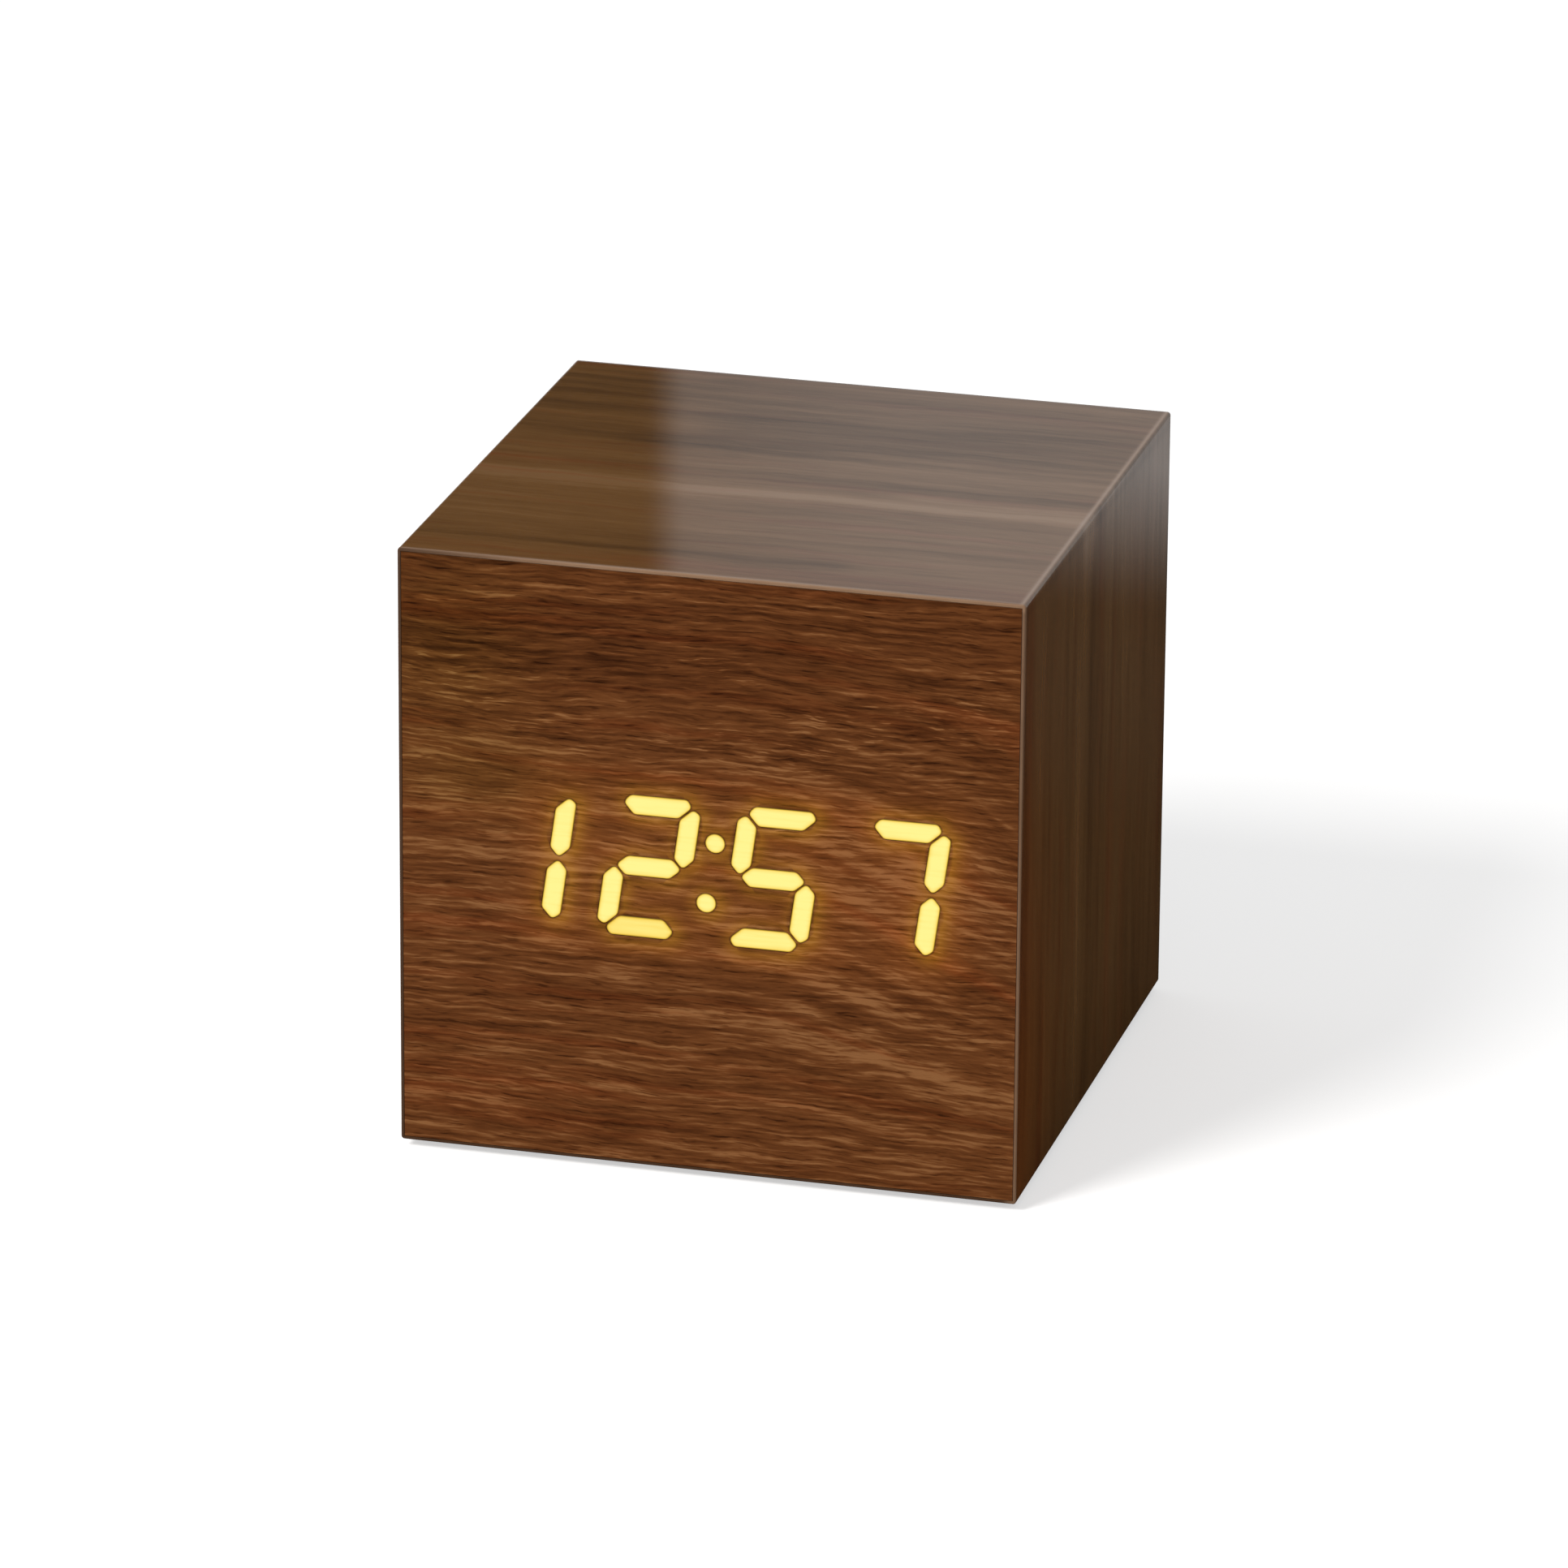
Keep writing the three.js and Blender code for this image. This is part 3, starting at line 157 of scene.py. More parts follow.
class Paint:
    """Node tree of one material or world."""

    def __init__(self, owner: Union[Material, World]) -> None:
        """Empties the owner's tree.

        Args:
            owner: material or world to fill.
        """
        self.owner = owner
        owner.use_nodes = True
        self.tree = owner.node_tree
        self.tree.nodes.clear()

    @classmethod
    def material(cls, name: str) -> "Paint":
        """Builder of a new material."""
        return cls(bpy.data.materials.new(name))

    def node(self, kind: str, settings: Optional[dict] = None, inputs: Optional[dict] = None,
             output: Union[int, str] = 0) -> Shade:
        """Adds a node, sets it up, then fills its inputs.

        Args:
            kind: node's type.
            settings: attributes to set first.
            inputs: values or shades by input name or number.
            output: name or number of the output wanted.

        Returns:
            That output.
        """
        made = self.tree.nodes.new(kind)
        for name, value in (settings or {}).items():
            setattr(made, name, value)
        for name, value in (inputs or {}).items():
            if isinstance(value, Shade):
                self.tree.links.new(value.socket, made.inputs[name])
            else:
                made.inputs[name].default_value = value
        return Shade(self, made.outputs[output] if made.outputs else None)

    def parts(self, place: Shade, count: int, unit: float) -> tuple[Shade, ...]:
        """First values of a vector, counted in a unit of its own."""
        outputs = self.node("ShaderNodeSeparateXYZ", inputs={0: place}).socket.node.outputs
        return tuple(Shade(self, outputs[i]) * (1 / unit) for i in range(count))

    def coordinates(self) -> tuple[Shade, ...]:
        """Object coordinates in millimetres, as X, Y and Z."""
        return self.parts(self.node("ShaderNodeTexCoord", output="Object"), 3, MM)

    def uv(self) -> tuple[Shade, ...]:
        """The mesh's own UV, in millimetres, as along and across the grain."""
        return self.parts(self.node("ShaderNodeUVMap", {"uv_map": UV_NAME}), 2, UV_SCALE)

    def attribute(self, name: str) -> Shade:
        """A number kept on the mesh's points."""
        return self.node("ShaderNodeAttribute", {"attribute_name": name}, output="Fac")

    def point(self, x: Value, y: Value, z: Value = 0) -> Shade:
        """Three values as one vector."""
        return self.node("ShaderNodeCombineXYZ", inputs={0: x, 1: y, 2: z})

    def noise(self, place: Shade, scale: float, detail: float, rough: float = 0.5) -> Shade:
        """Soft noise about 0.5 at a place, with a number of finer layers of that weight."""
        inputs = {"Vector": place, "Scale": scale, "Detail": detail, "Roughness": rough}
        return self.node("ShaderNodeTexNoise", inputs=inputs)

    def mix(self, factor: Value, first: Value, second: Value, blend: Blend = Blend.MIX) -> Shade:
        """Mixes two colours.

        Args:
            factor: share of the second.
            first: colour at 0.
            second: colour at 1.
            blend: how they mix.

        Returns:
            The mixed colour.
        """
        first, second = (colour if isinstance(colour, Shade) else (*colour, 1)
                         for colour in (first, second))
        return self.node("ShaderNodeMix", {"data_type": "RGBA", "blend_type": blend.value},
                         {0: factor, 6: first, 7: second}, output=2)

    def ramp(self, value: Shade, stops: Sequence[tuple[float, Colour]]) -> Shade:
        """Colour by value.

        Args:
            value: where on the ramp.
            stops: places from 0 to 1 with their colours, in order.

        Returns:
            The colour.
        """
        made = self.node("ShaderNodeValToRGB", inputs={0: value})
        elements = made.socket.node.color_ramp.elements
        while len(elements) < len(stops):
            elements.new(1)
        for element, (place, colour) in zip(elements, stops):
            element.position = place
            element.color = (*colour, 1)
        return made

    def bump(self, height: Shade, depth: float) -> Shade:
        """Normal of a surface raised by a height of about 0 to 1 times a depth in millimetres."""
        return self.node("ShaderNodeBump", inputs={"Height": height, "Distance": depth * MM})

    def surface(self, inputs: dict) -> Material:
        """Ends the tree in one Principled surface.

        Args:
            inputs: values or shades by the surface's input names.

        Returns:
            The finished material.
        """
        shaded = self.node("ShaderNodeBsdfPrincipled", inputs=inputs)
        self.node("ShaderNodeOutputMaterial", inputs={"Surface": shaded})
        return self.owner


# Finishes

@dataclass(frozen=True)
class Streak:
    """One streak that runs along the grain, dark, or light where its depth is below zero."""

    across: float
    width: float
    start: float
    end: float
    depth: float


@dataclass(frozen=True)
class Zone:
    """Soft patch of the film that is lighter or darker, tinted, or mixed to another colour; the mixed
    ones are painted highlights.
    """

    along: float
    across: float
    reach_along: float
    reach_across: float
    lift: float = 0.0
    tint: Optional[Colour] = None
    blend: Blend = Blend.MULTIPLY

    def mask(self, along: Shade, across: Shade) -> Shade:
        """1 in the middle of the patch, falling off both ways."""
        return along.bell(self.along, self.reach_along) * across.bell(self.across, self.reach_across)


@dataclass(frozen=True)
class Fall:
    """Where the grain turns down to the right, as at the side of a flat-sawn arch."""

    start: float
    slope: float
    low: float
    high: float
    ease: float = 24.0
    turn: float = 12.0

    def shift(self, along: Shade, across: Shade) -> Shade:
        """Works out how far the grain has fallen.

        Args:
            along: place along the grain.
            across: place across it.

        Returns:
            slope times the way past the start, eased in there and at both sides of the band.
        """
        band = (across.step(self.low, self.low + self.ease)
                * across.step(self.high, self.high - self.ease))
        return along.math("SMOOTH_MAX", along - self.start, 0.0, self.turn) * band * self.slope


@dataclass(frozen=True)
class Grain:
    """One layer of grain lines: how fine it is both ways, its finer layers and where it is read."""

    along: float
    across: float
    detail: float
    shift: float

    def lines(self, paint: Paint, along: Shade, across: Shade, seed: float) -> Shade:
        """The layer's lines, about 0."""
        place = paint.point(along * self.along, across * self.across, seed + self.shift)
        return paint.noise(place, 1, self.detail, 0.6) - 0.5


@dataclass(frozen=True)
class WalnutFinish:
    """Printed and embossed walnut film under a thin smooth lacquer."""

    name: str
    tones: Sequence[tuple[float, Colour]] = (
        (0, (0.03, 0.0083, 0.0025)),
        (0.25, (0.064, 0.0193, 0.0054)),
        (0.5, (0.107, 0.0338, 0.0095)),
        (0.75, (0.163, 0.055, 0.016)),
        (1, (0.285, 0.122, 0.044)),
    )
    red: Colour = (1, 0.8, 0.72)
    figure: Grain = Grain(0.01, 0.13, 2, 3)
    figure_share: float = 0.65
    bands: Grain = Grain(0.03, 0.62, 3, 7)
    band_share: float = 0.95
    fine: Grain = Grain(0.17, 2.3, 3, 11)
    fine_share: float = 1.6
    dashes: Grain = Grain(0.34, 3.8, 2, 17)
    pore_range: Span = (0.06, 0.2)
    pore_share: float = 0.32
    # Painted glints: range and share of short light strokes that stand in for light caught by the
    # embossed grain
    glint_range: Span = (-0.05, -0.18)
    glint_share: float = 0.36
    patches: Grain = Grain(0.06, 0.16, 2, 23)
    patch_range: Span = (-0.12, 0.1)
    reds: Grain = Grain(0.02, 0.35, 3, 29)
    red_range: Span = (0, 0.22)
    streaks: Sequence[Streak] = ()
    zones: Sequence[Zone] = ()
    fall: Optional[Fall] = None
    # Zone where the painted glints are strongest; elsewhere they keep a least share
    painted_glints: Optional[Zone] = None
    streak_ease: float = 4.0
    least_glints: float = 0.2
    waves: Sequence[tuple[float, float, float]] = (
        (0.03, 0.06, 3.4), (0.15, 0.3, 0.8), (0.7, 1.1, 0.22))
    level: float = 0.68
    contrast: float = 1.0
    fineness: float = 1.0
    seed: float = 0.0
    pore_relief: float = 0.7
    fine_relief: float = 0.3
    pore_depth: float = 0.03
    roughness: float = 0.42
    rough_change: float = -0.12
    mean_relief: float = 0.8
    specular: float = 0.0
    lacquer: float = 0.55
    lacquer_change: float = 0.1
    glow: Optional[tuple[Colour, Colour]] = None
    glow_base: float = 0.45
    glow_grain: float = 0.85

    def bend(self, paint: Paint, along: Shade, across: Shade) -> Shade:
        """Places across the grain as the wavy grain lines see them.

        Args:
            paint: builder of the material.
            along: place along the grain.
            across: place across it.

        Returns:
            The place across, shifted by waves of three sizes.
        """
        shift = 0.0
        for number, (scale_along, scale_across, height) in enumerate(self.waves):
            place = paint.point(along * scale_along, across * scale_across, self.seed + number)
            shift = (paint.noise(place, 1, 1) - 0.5) * height + shift
        return across + shift

    def tone(self, paint: Paint, along: Shade, across: Shade) -> tuple[Shade, Shade, Shade]:
        """Works out the grain.

        Args:
            paint: builder of the material.
            along: place along the grain.
            across: place across it.

        Returns:
            Tone from dark to light, painted glints included, share of red and relief of the pores.
        """
        bent = self.bend(paint, along, across)
        fallen = bent + self.fall.shift(along, across) if self.fall else bent
        figure, bands, reds = (grain.lines(paint, along, fallen, self.seed)
                               for grain in (self.figure, self.bands, self.reds))
        fine, dashes, patches = (grain.lines(paint, along, bent, self.seed)
                                 for grain in (self.fine, self.dashes, self.patches))
        pores = dashes.step(*self.pore_range)
        # Painted glints: short light strokes by the pores, gated by patches, standing in for light
        # caught by the embossed grain
        painted_glints = dashes.step(*self.glint_range) * patches.step(*self.patch_range)
        if self.painted_glints:
            painted_glints = painted_glints * (self.least_glints + self.painted_glints.mask(along, across))
        lines = fine * self.fine_share - pores * self.pore_share + painted_glints * self.glint_share
        broad = figure * self.figure_share + bands * self.band_share
        tone = (broad + lines * self.fineness) * self.contrast + self.level
        ease = self.streak_ease
        for one in self.streaks:
            ends = (along.step(one.start - ease, one.start + ease)
                    * along.step(one.end + ease, one.end - ease))
            tone = tone - bent.bell(one.across, one.width) * ends * one.depth
        for zone in self.zones:
            if zone.lift:
                tone = tone + zone.mask(along, across) * zone.lift
        relief = 1 - pores * self.pore_relief + fine * self.fine_relief
        return tone, reds.step(*self.red_range), relief

    def build(self, along_across: Callable[[Paint], tuple[Shade, ...]]) -> Material:
        """Makes the material.

        Args:
            along_across: gives the two places on the film from the builder.

        Returns:
            The material.
        """
        paint = Paint.material(self.name)
        along, across = along_across(paint)
        tone, red, relief = self.tone(paint, along, across)
        colour = paint.mix(red, paint.ramp(tone, self.tones), self.red, Blend.MULTIPLY)
        for zone in self.zones:
            if zone.tint:
                colour = paint.mix(zone.mask(along, across), colour, zone.tint, zone.blend)
        inputs = {
            "Base Color": colour,
            "Roughness": self.roughness + (relief - self.mean_relief) * self.rough_change,
            "IOR": 1.45,
            "Specular IOR Level": self.specular,
            "Coat Weight": self.lacquer + (tone - self.level) * self.lacquer_change,
            "Coat Roughness": 0.09,
            "Coat IOR": 1.5,
            "Normal": paint.bump(relief, self.pore_depth),
        }
        if self.glow:
            through = self.glow_base + tone * self.glow_grain
            leaks = [paint.mix(paint.attribute(name) * through, (0, 0, 0), light)
                     for name, light in zip(GLOWS, self.glow)]
            inputs["Emission Color"] = paint.mix(1, *leaks, Blend.ADD)
            inputs["Emission Strength"] = 1
        return paint.surface(inputs)


@dataclass(frozen=True)
class FilmEdgeFinish:
    """Bare cut edge of the film, with a painted highlight along the top and the right."""

    name: str = "film_edge"
    dark: Colour = (0.07, 0.032, 0.014)
    # Colour of the painted highlight on the edge
    light: Colour = (0.285, 0.165, 0.095)
    top: Span = (58.6, 59.6)
    top_fade: Span = (-34, -10)
    right: Span = (28.6, 29.6)
    right_share: float = 0.62
    least_highlight: float = 0.72
    highlight_change: float = 0.5
    patch_scale: float = 0.35
    roughness: float = 0.5
    rough_change: float = 0.2
    depth: float = 0.01

    def build(self) -> Material:
        """Makes the material: a painted highlight along the top and right edges, broken up by noise.

        Returns:
            The material.
        """
        paint = Paint.material(self.name)
        x, y, z = paint.coordinates()
        rough = paint.noise(paint.point(x * self.patch_scale, y, z * self.patch_scale), 1, 3, 0.6)
        top = z.step(*self.top) * x.step(*self.top_fade)
        right = x.step(*self.right) * self.right_share
        # Painted highlight: the dark cut edge turns light only along the top and the right
        painted_highlight = top.math("MAXIMUM", top, right) * (self.least_highlight + rough * self.highlight_change)
        return paint.surface({
            "Base Color": paint.mix(painted_highlight, self.dark, self.light),
            "Roughness": self.roughness + (rough - 0.5) * self.rough_change,
            "Specular IOR Level": 0.2,
            "Normal": paint.bump(rough, self.depth),
        })


@dataclass(frozen=True)
class PlainFinish:
    """A moulded, painted or raw material with specks, cloudy variation and a fine relief."""

    name: str
    colour: Colour
    second: Colour
    roughness: float = 0.5
    rough_change: float = 0.1
    metal: float = 0.0
    grain: float = 4.0
    stretch: Colour = (1.0, 1.0, 1.0)
    cloud: float = 0.15
    depth: float = 0.01
    specular: float = 0.5
    grain_share: float = 0.9
    cloud_share: float = 1.2
    spread: Span = (0.1, 0.9)

    def build(self) -> Material:
        """Makes the material from noise at two scales, the finer one also its relief.

        Returns:
            The material.
        """
        paint = Paint.material(self.name)
        x, y, z = paint.coordinates()
        place = paint.point(x * self.stretch[0], y * self.stretch[1], z * self.stretch[2])
        fine = paint.noise(place, self.grain, 3, 0.6)
        cloud = paint.noise(place, self.cloud, 2)
        share = (fine - 0.5) * self.grain_share + (cloud - 0.5) * self.cloud_share + 0.5
        return paint.surface({
            "Base Color": paint.mix(share.step(*self.spread), self.colour, self.second),
            "Roughness": self.roughness + (cloud - 0.5) * self.rough_change,
            "Metallic": self.metal,
            "Specular IOR Level": self.specular,
            "Normal": paint.bump(fine, self.depth),
        })


@dataclass(frozen=True)
class LitFinish:
    """Lens that glows over the light chips and goes dark at its rim."""

    name: str = "display_light"
    unlit: Colour = (0.05, 0.035, 0.005)
    steps: Sequence[tuple[float, Colour]] = (
        (0, (0.095, 0.06, 0.004)),
        (0.3, (0.62, 0.37, 0.03)),
        (0.6, (0.94, 0.68, 0.13)),
        (1, (0.975, 0.885, 0.285)),
    )
    grain: Span = (0.25, 3)
    grain_share: float = 0.35
    roughness: float = 0.35
    rough_change: float = 0.1
    depth: float = 0.006

    def build(self) -> Material:
        """Makes the material: colour by the distance from the rim, broken up by the film's grain.

        Returns:
            The material.
        """
        paint = Paint.material(self.name)
        x, _, z = paint.coordinates()
        grain = paint.noise(paint.point(x * self.grain[0], z * self.grain[1]), 1, 3)
        core = paint.attribute("core") * (1 + (grain - 0.5) * self.grain_share)
        return paint.surface({
            "Base Color": (*self.unlit, 1),
            "Roughness": self.roughness + (grain - 0.5) * self.rough_change,
            "Specular IOR Level": 0.2,
            "Emission Color": paint.ramp(core, self.steps),
            "Emission Strength": 1,
            "Normal": paint.bump(grain, self.depth),
        })


@dataclass(frozen=True)
class CellFinish:
    """Glossy wrap of a battery cell, in two colours that meet at a pale line near its cap."""

    name: str = "cell_wrap"
    colour: Colour = (0.012, 0.052, 0.030)
    line: Colour = (0.6, 0.56, 0.44)
    band: Colour = (0.5, 0.24, 0.075)
    scuff: Colour = (0.78, 0.78, 0.78)
    specks: Colour = (0.6, 4, 4)
    meet: float = 0.76
    meet_ease: float = 0.001
    line_width: float = 0.008
    line_edge: Span = (0.4, 0.5)
    band_metal: float = 0.75
    roughness: float = 0.26
    rough_change: float = 0.1
    depth: float = 0.0015

    def build(self) -> Material:
        """Makes the material: colours by the place along the cell, with fine specks and scuffs.

        Returns:
            The material.
        """
        paint = Paint.material(self.name)
        along = paint.attribute("along")
        places = (part * fine for part, fine in zip(paint.coordinates(), self.specks))
        speck = paint.noise(paint.point(*places), 1, 3, 0.6)
        band = along.step(self.meet - self.meet_ease, self.meet + self.meet_ease)
        colour = paint.mix(band, self.colour, self.band)
        line = along.bell(self.meet, self.line_width).step(*self.line_edge)
        colour = paint.mix(speck, paint.mix(line, colour, self.line), self.scuff, Blend.MULTIPLY)
        return paint.surface({
            "Base Color": colour,
            "Roughness": self.roughness + (speck - 0.5) * self.rough_change,
            "Metallic": band * self.band_metal,
            "Normal": paint.bump(speck, self.depth),
        })


class Finishes(Enum):
    """Every plain finish of the clock."""

    FIBREBOARD = PlainFinish("fibreboard", (0.17, 0.092, 0.044), (0.3, 0.185, 0.1), 0.85,
                             grain=3.4, depth=0.05, specular=0.2)
    RUBBER = PlainFinish("foot_rubber", (0.012, 0.012, 0.012), (0.022, 0.021, 0.02), 0.82, depth=0.02)
    WHITE_PLASTIC = PlainFinish("white_plastic", (0.72, 0.71, 0.67), (0.8, 0.79, 0.76), 0.45)
    CIRCUIT_BOARD = PlainFinish("circuit_board", (0.01, 0.075, 0.03), (0.016, 0.12, 0.048), 0.4)
    CHIP_PLASTIC = PlainFinish("chip_plastic", (0.014, 0.014, 0.015), (0.024, 0.024, 0.025), 0.55)
    STEEL = PlainFinish("steel", (0.44, 0.44, 0.43), (0.52, 0.52, 0.51), 0.3, 0.08, metal=1,
                        grain=9, depth=0.002)
    SPRING = PlainFinish("spring_steel", (0.6, 0.59, 0.56), (0.72, 0.71, 0.68), 0.24, 0.15, metal=1,
                         grain=5, depth=0.003)
    PANEL = PlainFinish("panel_plastic", (0.01, 0.01, 0.011), (0.019, 0.019, 0.02), 0.48, 0.12,
                        grain=5, depth=0.022)
    BUTTON = PlainFinish("button_plastic", (0.013, 0.013, 0.014), (0.02, 0.02, 0.021), 0.36,
                         grain=3, depth=0.006)
    RED_WIRE = PlainFinish("red_wire", (0.38, 0.018, 0.014), (0.48, 0.028, 0.02), 0.42)
    BLACK_WIRE = PlainFinish("black_wire", (0.011, 0.011, 0.011), (0.018, 0.018, 0.018), 0.42)
    RIBBON_WIRE = PlainFinish("ribbon_wire", (0.34, 0.34, 0.33), (0.46, 0.46, 0.45), 0.5,
                              grain=0.8, stretch=(1, 0.02, 0.02), depth=0.03)


# Meshes

def box_mm(node: str) -> tuple[np.ndarray, np.ndarray]:
    """Lowest and highest corner of one of the part's nodes, in millimetres."""
    low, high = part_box(node)
    return np.array(low) / MM, np.array(high) / MM


def add_object(name: str, data: ID) -> Object:
    """Puts a mesh, lamp or camera into the scene.

    Args:
        name: object's name.
        data: what it shows.

    Returns:
        The object, at the origin.
    """
    made = bpy.data.objects.new(name, data)
    bpy.context.scene.collection.objects.link(made)
    return made


def add_mesh(name: str, points: np.ndarray, faces: Sequence[Sequence[int]],
             smooth: bool = True) -> Object:
    """Makes a mesh object at the origin.

    Args:
        name: piece's name.
        points: corner places in millimetres, one row each.
        faces: corner numbers of each face.
        smooth: whether the faces are shaded as one curved surface.

    Returns:
        The object.
    """
    mesh = bpy.data.meshes.new(name)
    mesh.from_pydata((np.asarray(points, float) * MM).tolist(), [], [list(f) for f in faces])
    mesh.polygons.foreach_set("use_smooth", np.full(len(mesh.polygons), smooth))
    mesh.update()
    return add_object(name, mesh)


def ring_faces(rows: int, columns: int, start: int = 0) -> np.ndarray:
    """Four-cornered faces between closed rings.

    Args:
        rows: number of rings.
        columns: points on each ring, which closes on itself.
        start: number of the first point.

    Returns:
        One row of four point numbers for each face.
    """
    row, column = np.meshgrid(np.arange(rows - 1), np.arange(columns), indexing="ij")
    after = (column + 1) % columns
    corners = [row * columns + column, row * columns + after,
               (row + 1) * columns + after, (row + 1) * columns + column]
    return np.stack(corners, -1).reshape(-1, 4) + start


def add_rings(name: str, rings: Rings, closed_ends: bool = True) -> Object:
    """Makes a surface from closed rings of equally many points.

    Args:
        name: piece's name.
        rings: array of rings by points by three places, each ring anticlockwise as seen from outside
            the first one's far side, so that the faces look outward.
        closed_ends: whether flat faces close the first and the last ring.

    Returns:
        The object.
    """
    rows, columns = rings.shape[:2]
    faces = ring_faces(rows, columns).tolist()
    if closed_ends:
        first = list(range(columns))
        faces += [first[::-1], [(rows - 1) * columns + i for i in first]]
    return add_mesh(name, rings.reshape(-1, 3), faces)


def set_back(plane: np.ndarray, y: float) -> np.ndarray:
    """Points of a plane, given as X and Z, at one depth."""
    return np.stack([plane[:, 0], np.full(len(plane), y), plane[:, 1]], -1)


def arc(centre: Sequence[float], radius: float, start: float, end: float, steps: int) -> np.ndarray:
    """Points centre + radius (cos t, sin t), with t from start to end in quarter turns."""
    turn = np.linspace(start, end, steps) * np.pi / 2
    return np.array(centre) + radius * np.stack([np.cos(turn), np.sin(turn)], -1)


def turned_rings(profile: Sequence[tuple[float, float]], sides: int) -> Rings:
    """Rings of a turned surface about +Z.

    Args:
        profile: radius and height of each ring, from the bottom up.
        sides: points on each ring.

    Returns:
        Rings whose point is (radius cos angle, radius sin angle, height).
    """
    angle = np.linspace(0, 2 * np.pi, sides, endpoint=False)
    radius, height = np.asarray(profile, float).T
    return np.stack([
        radius[:, None] * np.cos(angle), radius[:, None] * np.sin(angle),
        np.repeat(height[:, None], sides, 1)], -1)


def set_values(piece: Object, name: str, values: np.ndarray) -> None:
    """Keeps one number for each point of a piece's mesh, under an attribute's name."""
    kept = piece.data.attributes.new(name, "FLOAT", "POINT")
    kept.data.foreach_set("value", np.asarray(values, np.float32))


def set_uv(piece: Object, along: np.ndarray, across: np.ndarray) -> None:
    """Lays the film's print on a mesh, from each face corner's place along and across the grain."""
    values = (np.stack([along, across], -1) * UV_SCALE).astype(np.float32)
    piece.data.uv_layers.new(name=UV_NAME).data.foreach_set("uv", values.ravel())


def corner_points(piece: Object) -> np.ndarray:
    """Reads which point each face corner of a mesh stands on.

    Args:
        piece: object to read.

    Returns:
        One point number for each face corner.
    """
    numbers = np.zeros(len(piece.data.loops), np.int32)
    piece.data.loops.foreach_get("vertex_index", numbers)
    return numbers


def rounded(outline: np.ndarray, radius: float, steps: int = 4, most: float = 0.4) -> np.ndarray:
    """Rounds the corners of a closed outline.

    Args:
        outline: corners, one a row.
        radius: how far from a corner its curve starts, at most.
        steps: points on each curve.
        most: share of a side that a curve may take.

    Returns:
        The outline, each corner drawn as the curve (1-t)^2 start + 2t(1-t) corner + t^2 end.
    """
    before, after = np.roll(outline, 1, 0) - outline, np.roll(outline, -1, 0) - outline
    starts, ends = (
        outline + side * np.minimum(radius / np.linalg.norm(side, axis=1), most)[:, None]
        for side in (before, after))
    t = np.linspace(0, 1, steps)[None, :, None]
    starts, corners, ends = starts[:, None], outline[:, None], ends[:, None]
    return ((1 - t) ** 2 * starts + 2 * t * (1 - t) * corners + t ** 2 * ends).reshape(-1, 2)


def loop_pairs(starts: Sequence[int]) -> np.ndarray:
    """Point numbers, each with the next one round its loop; the last start is the final end."""
    loops = [np.arange(first, end) for first, end in zip(starts, starts[1:])]
    return np.concatenate([np.stack([loop, np.roll(loop, -1)], -1) for loop in loops])


def grown(outline: np.ndarray, margin: float) -> np.ndarray:
    """Moves each side of an anticlockwise outline outward.

    Args:
        outline: closed outline, one point a row.
        margin: distance, negative to draw it in.

    Returns:
        The outline whose points lie where the moved sides meet.
    """
    before = outline - np.roll(outline, 1, 0)
    after = np.roll(outline, -1, 0) - outline
    normals = [np.stack([side[:, 1], -side[:, 0]], -1) / np.linalg.norm(side, axis=1)[:, None]
               for side in (before, after)]
    middle = normals[0] + normals[1]
    scale = 2 / np.maximum((middle * middle).sum(1), 1.0)
    return outline + middle * (scale * margin)[:, None]


